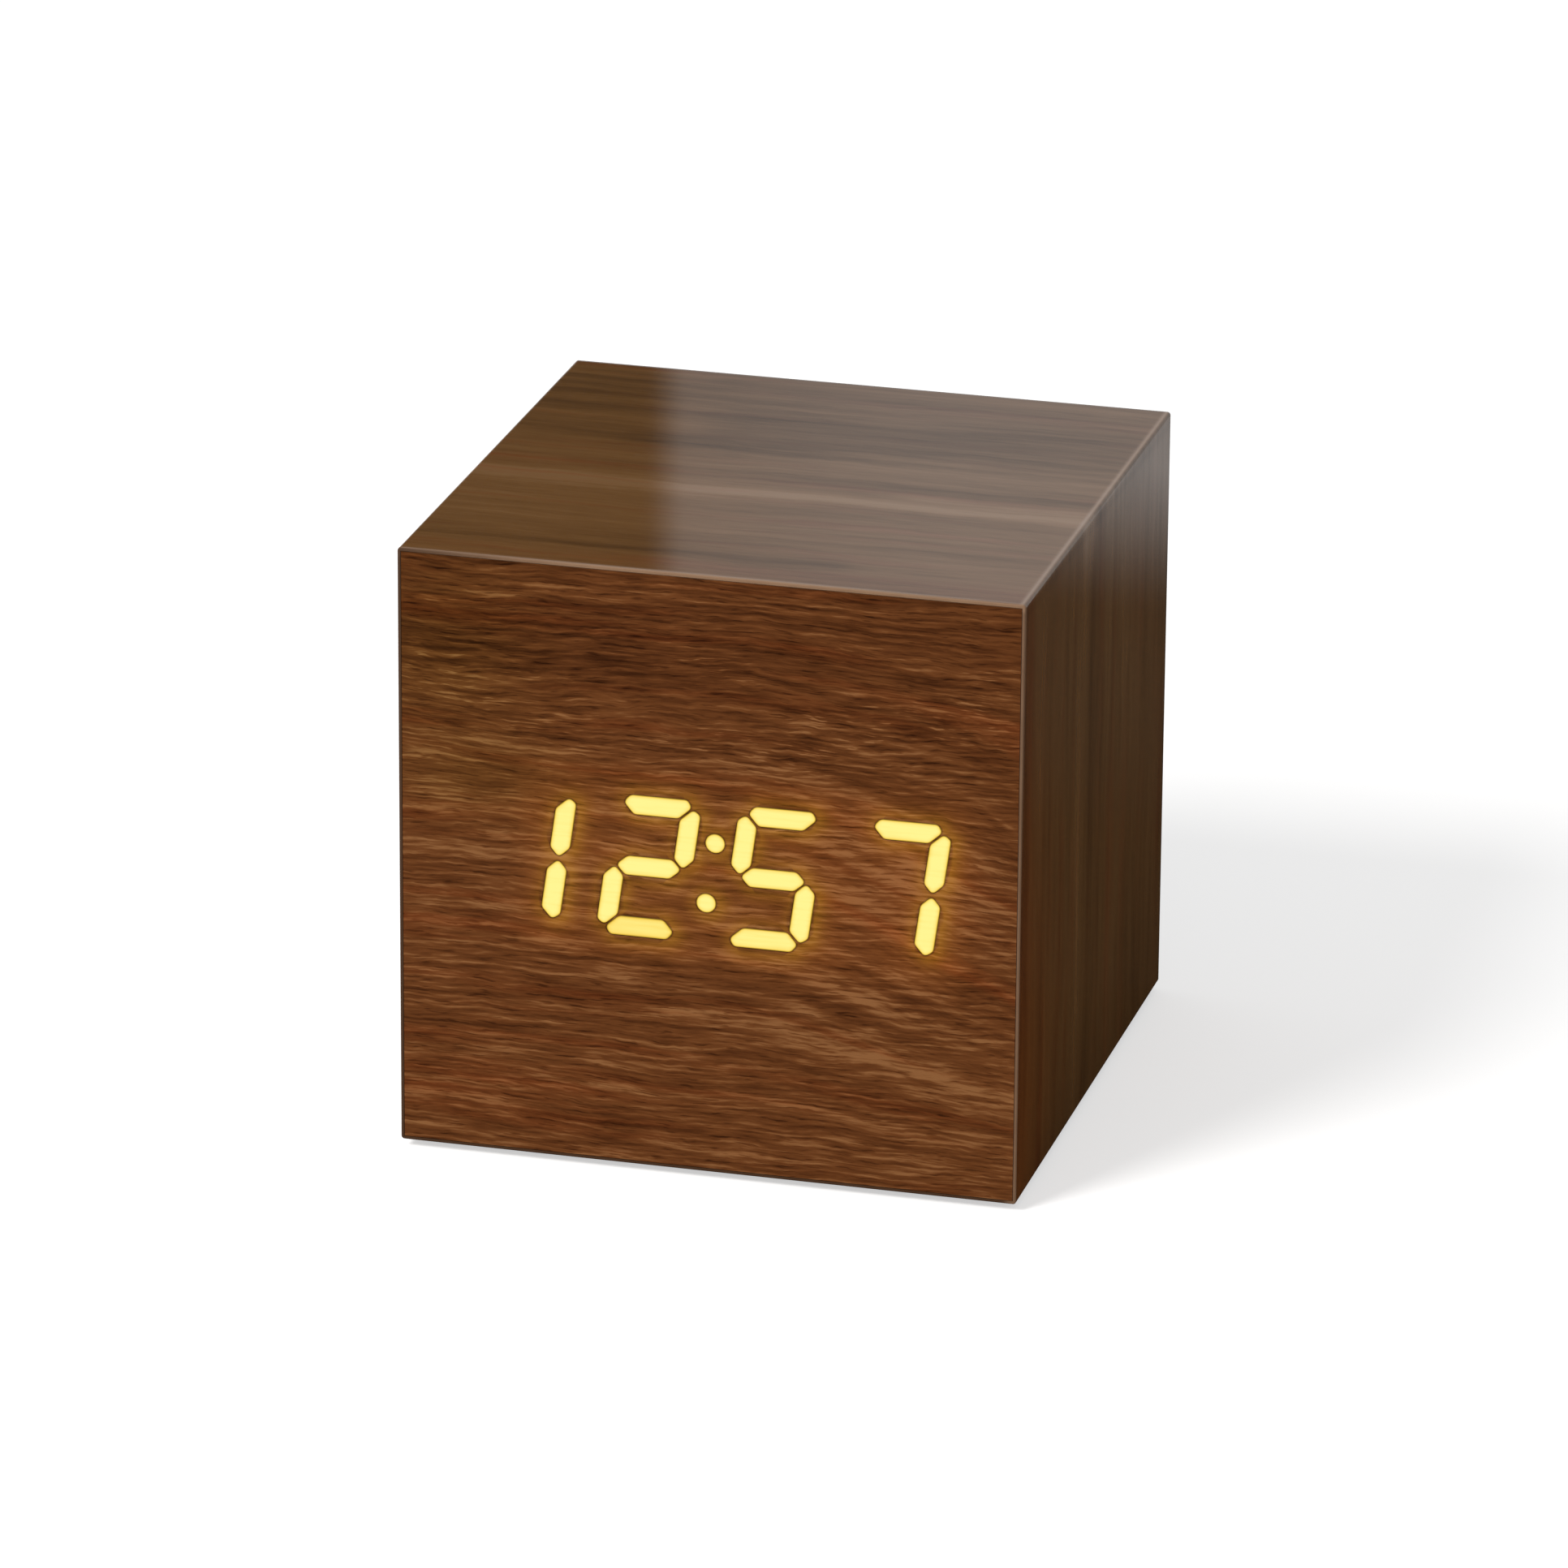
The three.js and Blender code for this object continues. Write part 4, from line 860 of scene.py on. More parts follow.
@dataclass(frozen=True)
class DigitLayout:
    """Lit bars and dots on the front, where the part has them, mitred at a digit's corners."""

    lit: Sequence[str] = ("BC", "ABDEG", "ACDFG", "ABC")
    centre_x: float = 0.3
    centre_z: float = 30.8
    pitch: float = 12.002
    width: float = 8.452
    height: float = 14.1
    slant_degrees: float = 8.0
    thickness: float = 1.95
    gap: float = 0.163
    flat_end: float = 0.38
    inner_back: float = 0.27
    outer_back: float = 0.08
    outer_shift: float = 0.24
    outer_corner: float = 0.42
    dot_radius: float = 0.95
    dot_spacing: float = 6.0
    corner_radius: float = 0.3
    dot_steps: int = 32

    def bar(self, digit: int, bar: Bar) -> np.ndarray:
        """Outline of one bar on the face.

        Args:
            digit: number of the digit, from the left.
            bar: which of its bars.

        Returns:
            Anticlockwise outline, as X and Z.
        """
        row = (self.height - self.thickness) / 2
        column = (self.width - self.thickness) / 2
        across, up = bar.value
        upright = across != 0
        reach = (row if upright else 2 * column) / 2
        half, flat = self.thickness / 2, self.flat_end / 2
        shoulder = reach - half - self.gap / math.sqrt(2)
        # Outward is across the bar, seen along it: left for an upright's right-hand side
        outward = -across if upright else up / 2
        outer = (up < 0, up > 0) if upright else (bar is not Bar.G,) * 2
        (start, low), (end, high) = (
            (reach - (self.outer_back if turns else self.inner_back),
             self.outer_shift * outward * turns)
            for turns in outer)
        # A turning end keeps its full width on the outer side until just before its tip
        (start_low, start_high), (end_low, end_high) = (
            [tip - self.outer_corner if turns and outward == side else shoulder
             for side in (-1, 1)]
            for tip, turns in ((start, outer[0]), (end, outer[1])))
        outline = np.array([
            (-start, low - flat), (-start_low, -half), (end_low, -half), (end, high - flat),
            (end, high + flat), (end_high, half), (-start_high, half), (-start, low + flat)])
        if upright:
            outline = np.stack([-outline[:, 1], outline[:, 0]], -1)
        offset = (digit - (len(self.lit) - 1) / 2) * self.pitch
        return self.leaned(outline + (offset + across * column, up * row / 2))

    def leaned(self, points: np.ndarray) -> np.ndarray:
        """Slants points about the digits' centre and sets them down on the face.

        Args:
            points: places from the digits' centre, one a row.

        Returns:
            Their X and Z, each point moved right by its height times the slope.
        """
        slope = math.tan(math.radians(self.slant_degrees))
        return np.stack([self.centre_x + points[:, 0] + points[:, 1] * slope,
                         self.centre_z + points[:, 1]], -1)

    def dot(self, side: int) -> np.ndarray:
        """Outline of the upper or the lower dot."""
        centre = self.leaned(np.array([[0.0, side * self.dot_spacing / 2]]))
        return arc(centre[0], self.dot_radius, 0, 4, self.dot_steps + 1)[:-1]

    def outlines(self) -> list[np.ndarray]:
        """Draws every lit outline, with rounded corners.

        Returns:
            The bars' outlines, then the dots'.
        """
        bars = [rounded(self.bar(digit, Bar[name]), self.corner_radius)
                for digit, names in enumerate(self.lit) for name in names]
        return bars + [self.dot(-1), self.dot(1)]

    def distance(self, points: np.ndarray) -> np.ndarray:
        """Measures how far points lie from the lit outlines.

        Args:
            points: places on the face, one a row.

        Returns:
            Each point's distance to the nearest side of an outline.
        """
        least = np.full(len(points), np.inf)
        for outline in self.outlines():
            side = np.roll(outline, -1, 0) - outline
            off = points[:, None] - outline[None]
            share = np.clip((off * side).sum(-1) / (side * side).sum(-1), 0, 1)
            gap = np.linalg.norm(off - share[..., None] * side, axis=-1).min(1)
            least = np.minimum(least, gap)
        return least


# Pieces

def place(piece: Object, body: str, node: str, slot: str, *materials: Material) -> Object:
    """Gives a finished piece its body and its materials, and hides the node that it stands for.

    Args:
        piece: object to place.
        body: body that it rides on.
        node: node of the part that it stands for.
        slot: the record's material slot; not used.
        materials: its materials, the main one first.

    Returns:
        The piece.
    """
    for material in materials:
        piece.data.materials.append(material)
    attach(piece, body)
    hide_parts(node)
    log.info("%s rides on %s and stands for %s", piece.name, body, node)
    return piece


def set_second(piece: Object, second: np.ndarray) -> None:
    """Gives each face of a piece its second material where the array holds."""
    piece.data.polygons.foreach_set("material_index", second.astype(np.int32))


@dataclass(frozen=True)
class FilmWrap:
    """Film that runs round the four walls."""

    node: str = "grain_film_wrap"
    thickness: float = 0.3
    fold_radius: float = 0.32
    least_radius: float = 0.02
    edge_round: float = 0.08
    support: float = 0.3
    corner_steps: int = 10
    length_steps: int = 24

    def ring(self, low: np.ndarray, high: np.ndarray, inset: float) -> tuple[np.ndarray, np.ndarray]:
        """Rounded rectangle about the walls.

        Args:
            low: lowest corner, as X and Z.
            high: highest corner.
            inset: distance drawn in from the film's outer face.

        Returns:
            Its points, and how far round each lies and the next one after the last.
        """
        radius = max(self.fold_radius - inset, self.least_radius)
        (left, bottom), (right, top) = low + inset, high - inset
        centres = ((left + radius, bottom + radius), (left + radius, top - radius),
                   (right - radius, top - radius), (right - radius, bottom + radius))
        points = [np.array([(left + right) / 2, bottom])[None]]
        for quarter, centre in enumerate(centres, 1):
            fold = arc(centre, radius, -quarter, -quarter - 1, self.corner_steps)
            # Points just beyond a fold keep its curved shading off the flat sides
            before, after = arc((0, 0), self.support, 1 - quarter, -quarter - 2, 2)
            points += [fold[:1] + before, fold, fold[-1:] + after]
        ring = np.concatenate(points)
        steps = np.linalg.norm(np.roll(ring, -1, 0) - ring, axis=1)
        return ring, np.concatenate([[0], np.cumsum(steps)])

    def build(self, film: Material, edge: Material) -> Object:
        """Makes the wrap: rings round the walls, from the front cut edge to the back one.

        Args:
            film: printed film.
            edge: its bare cut edge, with a painted highlight along the top and the right.

        Returns:
            The piece.
        """
        low, high = box_mm(self.node)
        plane_low, plane_high = low[[0, 2]], high[[0, 2]]
        outer, round_trip = self.ring(plane_low, plane_high, 0.0)
        nearly, _ = self.ring(plane_low, plane_high, self.edge_round)
        inner, _ = self.ring(plane_low, plane_high, self.thickness)
        front, back = low[1] + self.edge_round, high[1] - self.edge_round
        between = np.linspace(front + self.support, back - self.support, self.length_steps)
        rows = [(inner, low[1]), (nearly, low[1]), *((outer, y) for y in (front, *between, back)),
                (nearly, high[1]), (inner, high[1]), (inner, low[1])]
        rings = np.stack([set_back(ring, y) for ring, y in rows])
        piece = add_rings("walnut_wrap", rings, closed_ends=False)
        columns = len(outer)
        corners = corner_points(piece)
        # A corner whose face closes the ring lies at the trip's end and not at its start
        column = (corners % columns).reshape(-1, 4)
        closing = (column.max(1) == columns - 1) & (column.min(1) == 0)
        column[closing] = np.where(column[closing] == 0, columns, column[closing])
        along = round_trip[column] - round_trip[-1] / 2
        across = rings.reshape(-1, 3)[corners, 1]
        set_uv(piece, along.ravel(), across)
        row_of_face = np.arange(len(piece.data.polygons)) // columns
        rim = (row_of_face <= 1) | (row_of_face >= len(rows) - 3)
        set_second(piece, rim)
        piece.data.polygons.foreach_set("use_smooth", ~rim)
        return place(piece, "case", self.node, "grain_film", film, edge)


@dataclass(frozen=True)
class FrontFilm:
    """Film on the front face, open round the lit bars, and the glow that it lets through."""

    layout: DigitLayout
    node: str = "front_film"
    clearance: float = 0.04
    glow_reach: float = 0.85
    glow_power: float = 1.5
    glow_shift: Span = (0.28, -0.08)
    wide_reach: float = 4.0
    wide_fade: float = 3.0
    dark_rim: float = 0.14
    fine_step: float = 0.4
    coarse_step: float = 2.0
    fine_margin: float = 7.0
    rim_rows: Span = (0.7, 1.4)
    least_row: float = 0.45
    side_steps: int = 40
    join_within: float = 1e-7

    def grid(self, low: np.ndarray, high: np.ndarray) -> np.ndarray:
        """Points spread over the face, close together round the digits.

        Args:
            low: lowest corner of the face, as X and Z.
            high: highest corner.

        Returns:
            One point a row, none in or beside a cut-out.
        """
        layout, step = self.layout, self.fine_step
        xs, zs = (np.arange(a + self.coarse_step / 2, b - self.coarse_step / 4, self.coarse_step)
                  for a, b in zip(low, high))
        coarse = np.stack(np.meshgrid(xs, zs), -1).reshape(-1, 2)
        reach = layout.height / 2 + self.fine_margin
        zs = np.arange(layout.centre_z - reach, layout.centre_z + reach, step)
        xs = np.arange(low[0] + step, high[0] - step / 2, step)
        fine = np.stack(np.meshgrid(xs, zs), -1).reshape(-1, 2)
        coarse = coarse[np.abs(coarse[:, 1] - layout.centre_z) > reach + step]
        fine = fine[layout.distance(fine) > self.rim_rows[-1] * self.dark_rim + step / 3]
        rims = [grown(outline, row * self.dark_rim)
                for outline in layout.outlines() for row in self.rim_rows]
        points = np.concatenate([coarse, fine, *rims])
        clear = layout.distance(points) > self.least_row * self.dark_rim
        return points[clear & ~self.inside(points)]

    def inside(self, points: np.ndarray) -> np.ndarray:
        """Finds the points inside a lit outline: those to the left of all its sides.

        Args:
            points: places on the face, one a row.

        Returns:
            Whether each of them lies inside.
        """
        found = np.zeros(len(points), bool)
        for outline in self.layout.outlines():
            side = np.roll(outline, -1, 0) - outline
            off = points[:, None] - outline[None]
            found |= (side[:, 0] * off[..., 1] - side[:, 1] * off[..., 0] > 0).all(1)
        return found

    def build(self, film: Material, edge: Material) -> Object:
        """Makes the film: its face joined from points, edges and holes, and a wall round each loop.

        Args:
            film: printed film.
            edge: its bare cut edge, with a painted highlight along the top and the right.

        Returns:
            The piece.
        """
        box_low, box_high = box_mm(self.node)
        low, high = box_low[[0, 2]], box_high[[0, 2]]
        rim = np.array([low, (high[0], low[1]), high, (low[0], high[1])])
        steps = np.linspace(0, 1, self.side_steps, endpoint=False)[None, :, None]
        rim = (rim[:, None] * (1 - steps) + np.roll(rim, -1, 0)[:, None] * steps).reshape(-1, 2)
        loops = [rim] + [grown(outline, self.clearance)[::-1] for outline in self.layout.outlines()]
        pairs = loop_pairs(np.cumsum([0] + [len(loop) for loop in loops]))
        points = np.concatenate(loops + [self.grid(low, high)])
        joined = delaunay_2d_cdt([Vector(point) for point in points], pairs.tolist(), [], 0,
                                 self.join_within)
        flat, triangles = np.array([tuple(point) for point in joined[0]]), np.array(joined[2])
        triangles = triangles[~self.inside(flat[triangles].mean(1))]
        front = set_back(flat, box_low[1])
        back = front + (0, box_high[1] - box_low[1], 0)
        walls = self.walls(joined[3], pairs, len(flat))
        faces = triangles.tolist() + (triangles[:, ::-1] + len(flat)).tolist() + walls
        piece = add_mesh("walnut_front", np.concatenate([front, back]), faces, smooth=False)
        for name, glow in zip(GLOWS, self.glow(flat)):
            set_values(piece, name, np.concatenate([glow, glow]))
        set_second(piece, np.arange(len(faces)) >= 2 * len(triangles))
        return place(piece, "case", self.node, "grain_film", film, edge)

    def walls(self, origins: Sequence[Sequence[int]], pairs: np.ndarray, count: int
              ) -> list[list[int]]:
        """Faces between the front and the back of each loop.

        Args:
            origins: for each joined point, the numbers of the given points that it stands for.
            pairs: given points that follow each other round a loop.
            count: points on the front face.

        Returns:
            Four point numbers for each face.
        """
        joined = np.repeat(np.arange(len(origins)), [len(given) for given in origins])
        number = np.zeros(len(joined), int)
        number[[point for given in origins for point in given]] = joined
        a, b = number[pairs].T
        return np.stack([b, a, a + count, b + count], -1).tolist()

    def glow(self, flat: np.ndarray) -> tuple[np.ndarray, np.ndarray]:
        """Works out the light that leaks through the film.

        Args:
            flat: places on the face.

        Returns:
            Weak glow round all the digits, and the stronger one beside each bar. Both fall with the
            distance to the bars, a little lower and to the right as the light chips sit, and are
            none at the bars' very edge.
        """
        gap = self.layout.distance(flat - self.glow_shift)
        corners = np.concatenate(self.layout.outlines())  # for the box round all the digits
        outside = np.maximum(np.maximum(corners.min(0) - flat, flat - corners.max(0)), 0)
        rim = 1 - np.exp(-(self.layout.distance(flat) / self.dark_rim) ** 2)
        wide = np.exp(-gap / self.wide_reach - (outside ** 2).sum(1) / self.wide_fade ** 2)
        return rim * wide, rim * np.exp(-(gap / self.glow_reach) ** self.glow_power)


@dataclass(frozen=True)
class LitDigits:
    """Lens behind the film, with the lit bars raised flush with the film's face."""

    layout: DigitLayout
    node: str = "display_lens"
    sheet_front: float = -29.65
    weak_bars: Sequence[tuple[int, float]] = ((4, 0.78), (9, 0.93))
    rings: Sequence[tuple[float, float, float]] = (
        (0, 0.5, 0), (0, 0.02, 0), (0.02, 0, 0.08), (0.06, 0, 0.35), (0.14, 0, 0.7), (0.3, 0, 0.9),
        (0.5, 0, 1))

    def build(self, material: Material) -> Object:
        """Makes the lens: rings drawn in towards each bar's middle, closed there, and the sheet.

        Args:
            material: lit finish.

        Returns:
            The piece.
        """
        low, high = box_mm(self.node)
        points, faces, cores = [], [], []
        start, strengths = 0, dict(self.weak_bars)
        for number, outline in enumerate(self.layout.outlines()):
            strength, columns = strengths.get(number, 1.0), len(outline)
            rows = [set_back(grown(outline, -inset), low[1] + back) for inset, back, _ in self.rings]
            points += rows + [rows[-1].mean(0)[None]]
            cores += [*np.repeat([core * strength for *_, core in self.rings], columns), strength]
            last = start + (len(rows) - 1) * columns
            middle = last + columns
            faces += ring_faces(len(rows), columns, start)[:, ::-1].tolist()
            faces += [[middle, *pair] for pair in loop_pairs([last, middle]).tolist()]
            start = middle + 1
        corners = [(x, y, z) for y in (self.sheet_front, high[1]) for z in (low[2], high[2])
                   for x in (low[0], high[0])]
        box = ((0, 1, 3, 2), (4, 6, 7, 5), (0, 4, 5, 1), (2, 3, 7, 6), (0, 2, 6, 4), (1, 5, 7, 3))
        faces += (np.array(box) + start).tolist()
        points.append(np.array(corners))
        cores += [0.0] * len(corners)
        piece = add_mesh("lit_digits", np.concatenate(points), faces, smooth=False)
        set_values(piece, "core", np.array(cores))
        return place(piece, "case", self.node, "display_light", material)


def turned_piece(name: str, profile: Sequence[tuple[float, float]], origin: Sequence[float],
                 axis: Axis, sides: int = 72) -> Object:
    """Piece turned about an axis, from each ring's radius and its place outward along the axis."""
    rings = turned_rings(profile, sides) @ axis.turn().T + np.asarray(origin, float)
    return add_rings(name, rings)


@dataclass(frozen=True)
class Button:
    """Push button with a rounded rim and a dished top."""

    node: str
    body: str
    rim: float = 0.4
    rim_steps: int = 8
    dish: float = 0.25
    dish_start: float = 0.96
    dish_steps: int = 12
    flange_radius: float = 3.1
    flange_thickness: float = 0.8
    radius: float = 2.4
    stem_radius: float = 1.3
    flange_top: float = 27.0

    def build(self, material: Material) -> Object:
        """Makes the button: stem, flange, rim as a quarter circle and the dish as a parabola.

        Args:
            material: finish of the button.

        Returns:
            The piece.
        """
        low, high = box_mm(self.node)
        x, z = (low[0] + high[0]) / 2, (low[2] + high[2]) / 2
        top, inner = high[1], self.radius - self.rim
        rim = arc((inner, top - self.rim), self.rim, 0, 1, self.rim_steps)
        dish = [(radius, top - self.dish * (1 - (radius / inner) ** 2))
                for radius in np.linspace(inner * self.dish_start, POLE, self.dish_steps)]
        flange_bottom = self.flange_top - self.flange_thickness
        profile = [(self.stem_radius, low[1]), (self.stem_radius, flange_bottom),
                   (self.flange_radius, flange_bottom), (self.flange_radius, self.flange_top),
                   (self.radius, self.flange_top), *rim, *dish]
        piece = turned_piece(f"{self.node}_cap", profile, (x, 0, z), Axis.BACK)
        return place(piece, self.body, self.node, "button_plastic", material)


@dataclass(frozen=True)
class Foot:
    """Rubber disc with a rounded lower edge."""

    node: str
    edge: float = 0.3
    edge_steps: int = 6
    flat_share: float = 0.6
    clearance: float = 0.01

    def build(self, material: Material) -> Object:
        """Makes the foot: a flat disc whose lower edge is a quarter circle.

        Args:
            material: finish of the foot.

        Returns:
            The piece.
        """
        low, high = box_mm(self.node)
        radius = (high[0] - low[0]) / 2
        lower = arc((radius - self.edge, self.edge), self.edge, -1, 0, self.edge_steps)
        top = high[2] - self.clearance
        profile = [(POLE, 0), (radius * self.flat_share, 0), *lower, (radius, top), (POLE, top)]
        centre = ((low[0] + high[0]) / 2, (low[1] + high[1]) / 2, 0)
        piece = turned_piece(f"{self.node}_disc", profile, centre, Axis.UP)
        return place(piece, "case", self.node, "foot_rubber", material)


@dataclass(frozen=True)
class Cell:
    """Battery cell: a wrap shrunk over a steel can, with a flat base and a raised cap."""

    node: str
    axis: Axis
    edge: float = 0.45
    lip: float = 0.95
    wrap: float = 0.09
    base_step: float = 0.4
    cap_radius: float = 1.9
    cap_length: float = 0.8
    cap_round: float = 0.25
    edge_steps: int = 7
    sides: int = 96

    def profile(self, radius: float, length: float) -> list[tuple[float, float, bool]]:
        """Works out the rings from the base to the cap.

        Args:
            radius: the cell's.
            length: with its cap.

        Returns:
            Radius and place along the cell of each ring, and whether it is bare steel. The wrap's
            ends and the cap's rim are quarter circles.
        """
        shoulder = length - self.cap_length
        rim, inner = radius - self.edge, radius - self.lip
        quarter = arc((rim, self.edge), self.edge, -1, 0, self.edge_steps)
        lower = [(ring, place, False) for ring, place in quarter]
        upper = [(ring, shoulder - place, False) for ring, place in quarter[::-1]]
        base = [(POLE, 0, True), (inner - self.base_step, 0, True),
                (inner - self.wrap, self.wrap, True), (inner, self.wrap, True), (inner, 0, False)]
        seat, foot = shoulder - self.wrap, self.cap_radius + self.wrap
        end = self.cap_radius - self.cap_round
        cap = [(*point, True) for point in
               arc((end, length - self.cap_round), self.cap_round, 0, 1, self.edge_steps)]
        return [*base, *lower, *upper, (inner, shoulder, False), (inner, seat, True),
                (foot, seat, True), (self.cap_radius, shoulder, True), *cap, (POLE, length, True)]

    def build(self, wrap: Material, steel: Material) -> Object:
        """Makes the cell.

        Args:
            wrap: finish of the wrap.
            steel: finish of the can and the cap.

        Returns:
            The piece.
        """
        low, high = box_mm(self.node)
        length = high[0] - low[0]
        rings = self.profile((high[2] - low[2]) / 2, length)
        start = low if self.axis is Axis.RIGHT else high
        origin = (start[0], (low[1] + high[1]) / 2, (low[2] + high[2]) / 2)
        piece = turned_piece(f"{self.node}_wrapped", [ring[:2] for ring in rings], origin,
                             self.axis, self.sides)
        set_values(piece, "along", np.repeat([place / length for _, place, _ in rings], self.sides))
        bare = np.array([ring[2] for ring in rings])
        set_second(piece, np.append(np.repeat(bare[:-1] & bare[1:], self.sides), [True, True]))
        return place(piece, "case", self.node, "cell_wrap", wrap, steel)


@dataclass(frozen=True)
class CarriedPieces:
    """Nodes shown as the part has them, with softened edges."""

    bevel: float = 0.08
    bevel_steps: int = 2
    sharp_degrees: float = 35.0
    flat_degrees: float = 1.0
    weld: float = 0.001

    def build(self, groups: dict[Finishes, Sequence[str]]) -> None:
        """Gives each node still shown its material and a fine bevel.

        Args:
            groups: names' beginnings for each finish, of which the longest that fits counts.
        """
        starts = {start: finish for finish, names in groups.items() for start in names}
        materials = {finish: finish.value.build() for finish in groups}
        for name, node in sorted(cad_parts.items()):
            if node.hide_render:
                continue
            finish = starts[max((start for start in starts if name.startswith(start)), key=len)]
            node.data.materials.clear()
            node.data.materials.append(materials[finish])
            self.soften(node)
            log.info("%s is carried over in %s", name, finish.value.name)

    def soften(self, node: Object) -> None:
        """Welds the node's faces, joins flat ones and bevels its sharp edges, all by modifiers.

        Args:
            node: one of the part's nodes.
        """
        node.modifiers.new("weld", "WELD").merge_threshold = self.weld * MM
        flat = node.modifiers.new("flat", "DECIMATE")
        flat.decimate_type = "DISSOLVE"
        flat.angle_limit = math.radians(self.flat_degrees)
        bevel = node.modifiers.new("bevel", "BEVEL")
        bevel.width = self.bevel * MM
        bevel.segments = self.bevel_steps
        bevel.angle_limit = math.radians(self.sharp_degrees)


# Stage

@dataclass(frozen=True)
class Lens:
    """The photograph's camera, as fitted to the cube's corners."""

    azimuth: float = 14.749
    elevation: float = 20.065
    roll: float = 0.430
    distance: float = 937.218
    right: float = -0.588
    up: float = -0.844
    focal: float = 224.30
    sensor: float = 36.0
    near: float = 10.0
    far: float = 20000.0
    centre: Sequence[float] = (0, 0, 30)

    def build(self) -> Object:
        """Sets up the camera, which looks along the fitted angles from its distance.

        Returns:
            The camera.
        """
        a, e, r = map(math.radians, (self.azimuth, self.elevation, self.roll))
        back = Vector((math.sin(a) * math.cos(e), -math.cos(a) * math.cos(e), math.sin(e)))
        right = Vector((math.cos(a), math.sin(a), 0))
        up = back.cross(right)
        turned_right = right * math.cos(r) + up * math.sin(r)
        turned_up = up * math.cos(r) - right * math.sin(r)
        eye = (Vector(self.centre) + back * self.distance + turned_right * self.right
               + turned_up * self.up)
        data = bpy.data.cameras.new("camera")
        data.sensor_width, data.lens = self.sensor, self.focal
        data.clip_start, data.clip_end = self.near * MM, self.far * MM
        made = add_object("camera", data)
        axes = Matrix((turned_right, turned_up, back)).transposed()
        made.matrix_world = Matrix.Translation(eye * MM) @ axes.to_4x4()
        bpy.context.scene.camera = made
        return made


@dataclass(frozen=True)
class Lamp:
    """Soft area lamp aimed at the cube."""

    name: str
    place: Sequence[float]
    size: float
    watts: float
    colour: Colour = (1, 1, 1)
    target: Sequence[float] = (0, 0, 30)

    def build(self) -> Object:
        """Sets up the lamp.

        Returns:
            The lamp.
        """
        data = bpy.data.lights.new(self.name, "AREA")
        data.shape = "DISK"
        data.size = self.size * MM
        data.energy = self.watts
        data.color = self.colour
        made = add_object(self.name, data)
        made.location = Vector(self.place) * MM
        aim = (Vector(self.target) - Vector(self.place)).normalized()
        made.rotation_mode = "QUATERNION"
        made.rotation_quaternion = aim.to_track_quat("-Z", "Y")
        return made


@dataclass(frozen=True)
class Flag:
    """Dark level card that only reflections see, as a studio hangs beside glossy things."""

    name: str
    height: float
    rows: Sequence[tuple[Sequence[float], Sequence[float], float]]
    shade: float

    def build(self) -> Object:
        """Sets up the card: rows of two points, each with how much it covers.

        Returns:
            The card.
        """
        points = np.array([(*point, self.height) for row in self.rows for point in row[:2]], float)
        faces = [[i, i + 1, i + 3, i + 2] for i in range(0, len(points) - 2, 2)]
        made = add_mesh(self.name, points, faces, smooth=False)
        set_values(made, "cover", np.repeat([row[2] for row in self.rows], 2))
        paint = Paint.material(self.name)
        made.data.materials.append(paint.surface({
            "Base Color": (self.shade, self.shade, self.shade, 1), "Roughness": 0.9,
            "Specular IOR Level": 0, "Alpha": paint.attribute("cover").step(0, 1)}))
        made.visible_camera = made.visible_diffuse = False
        made.visible_shadow = made.visible_transmission = False
        return made


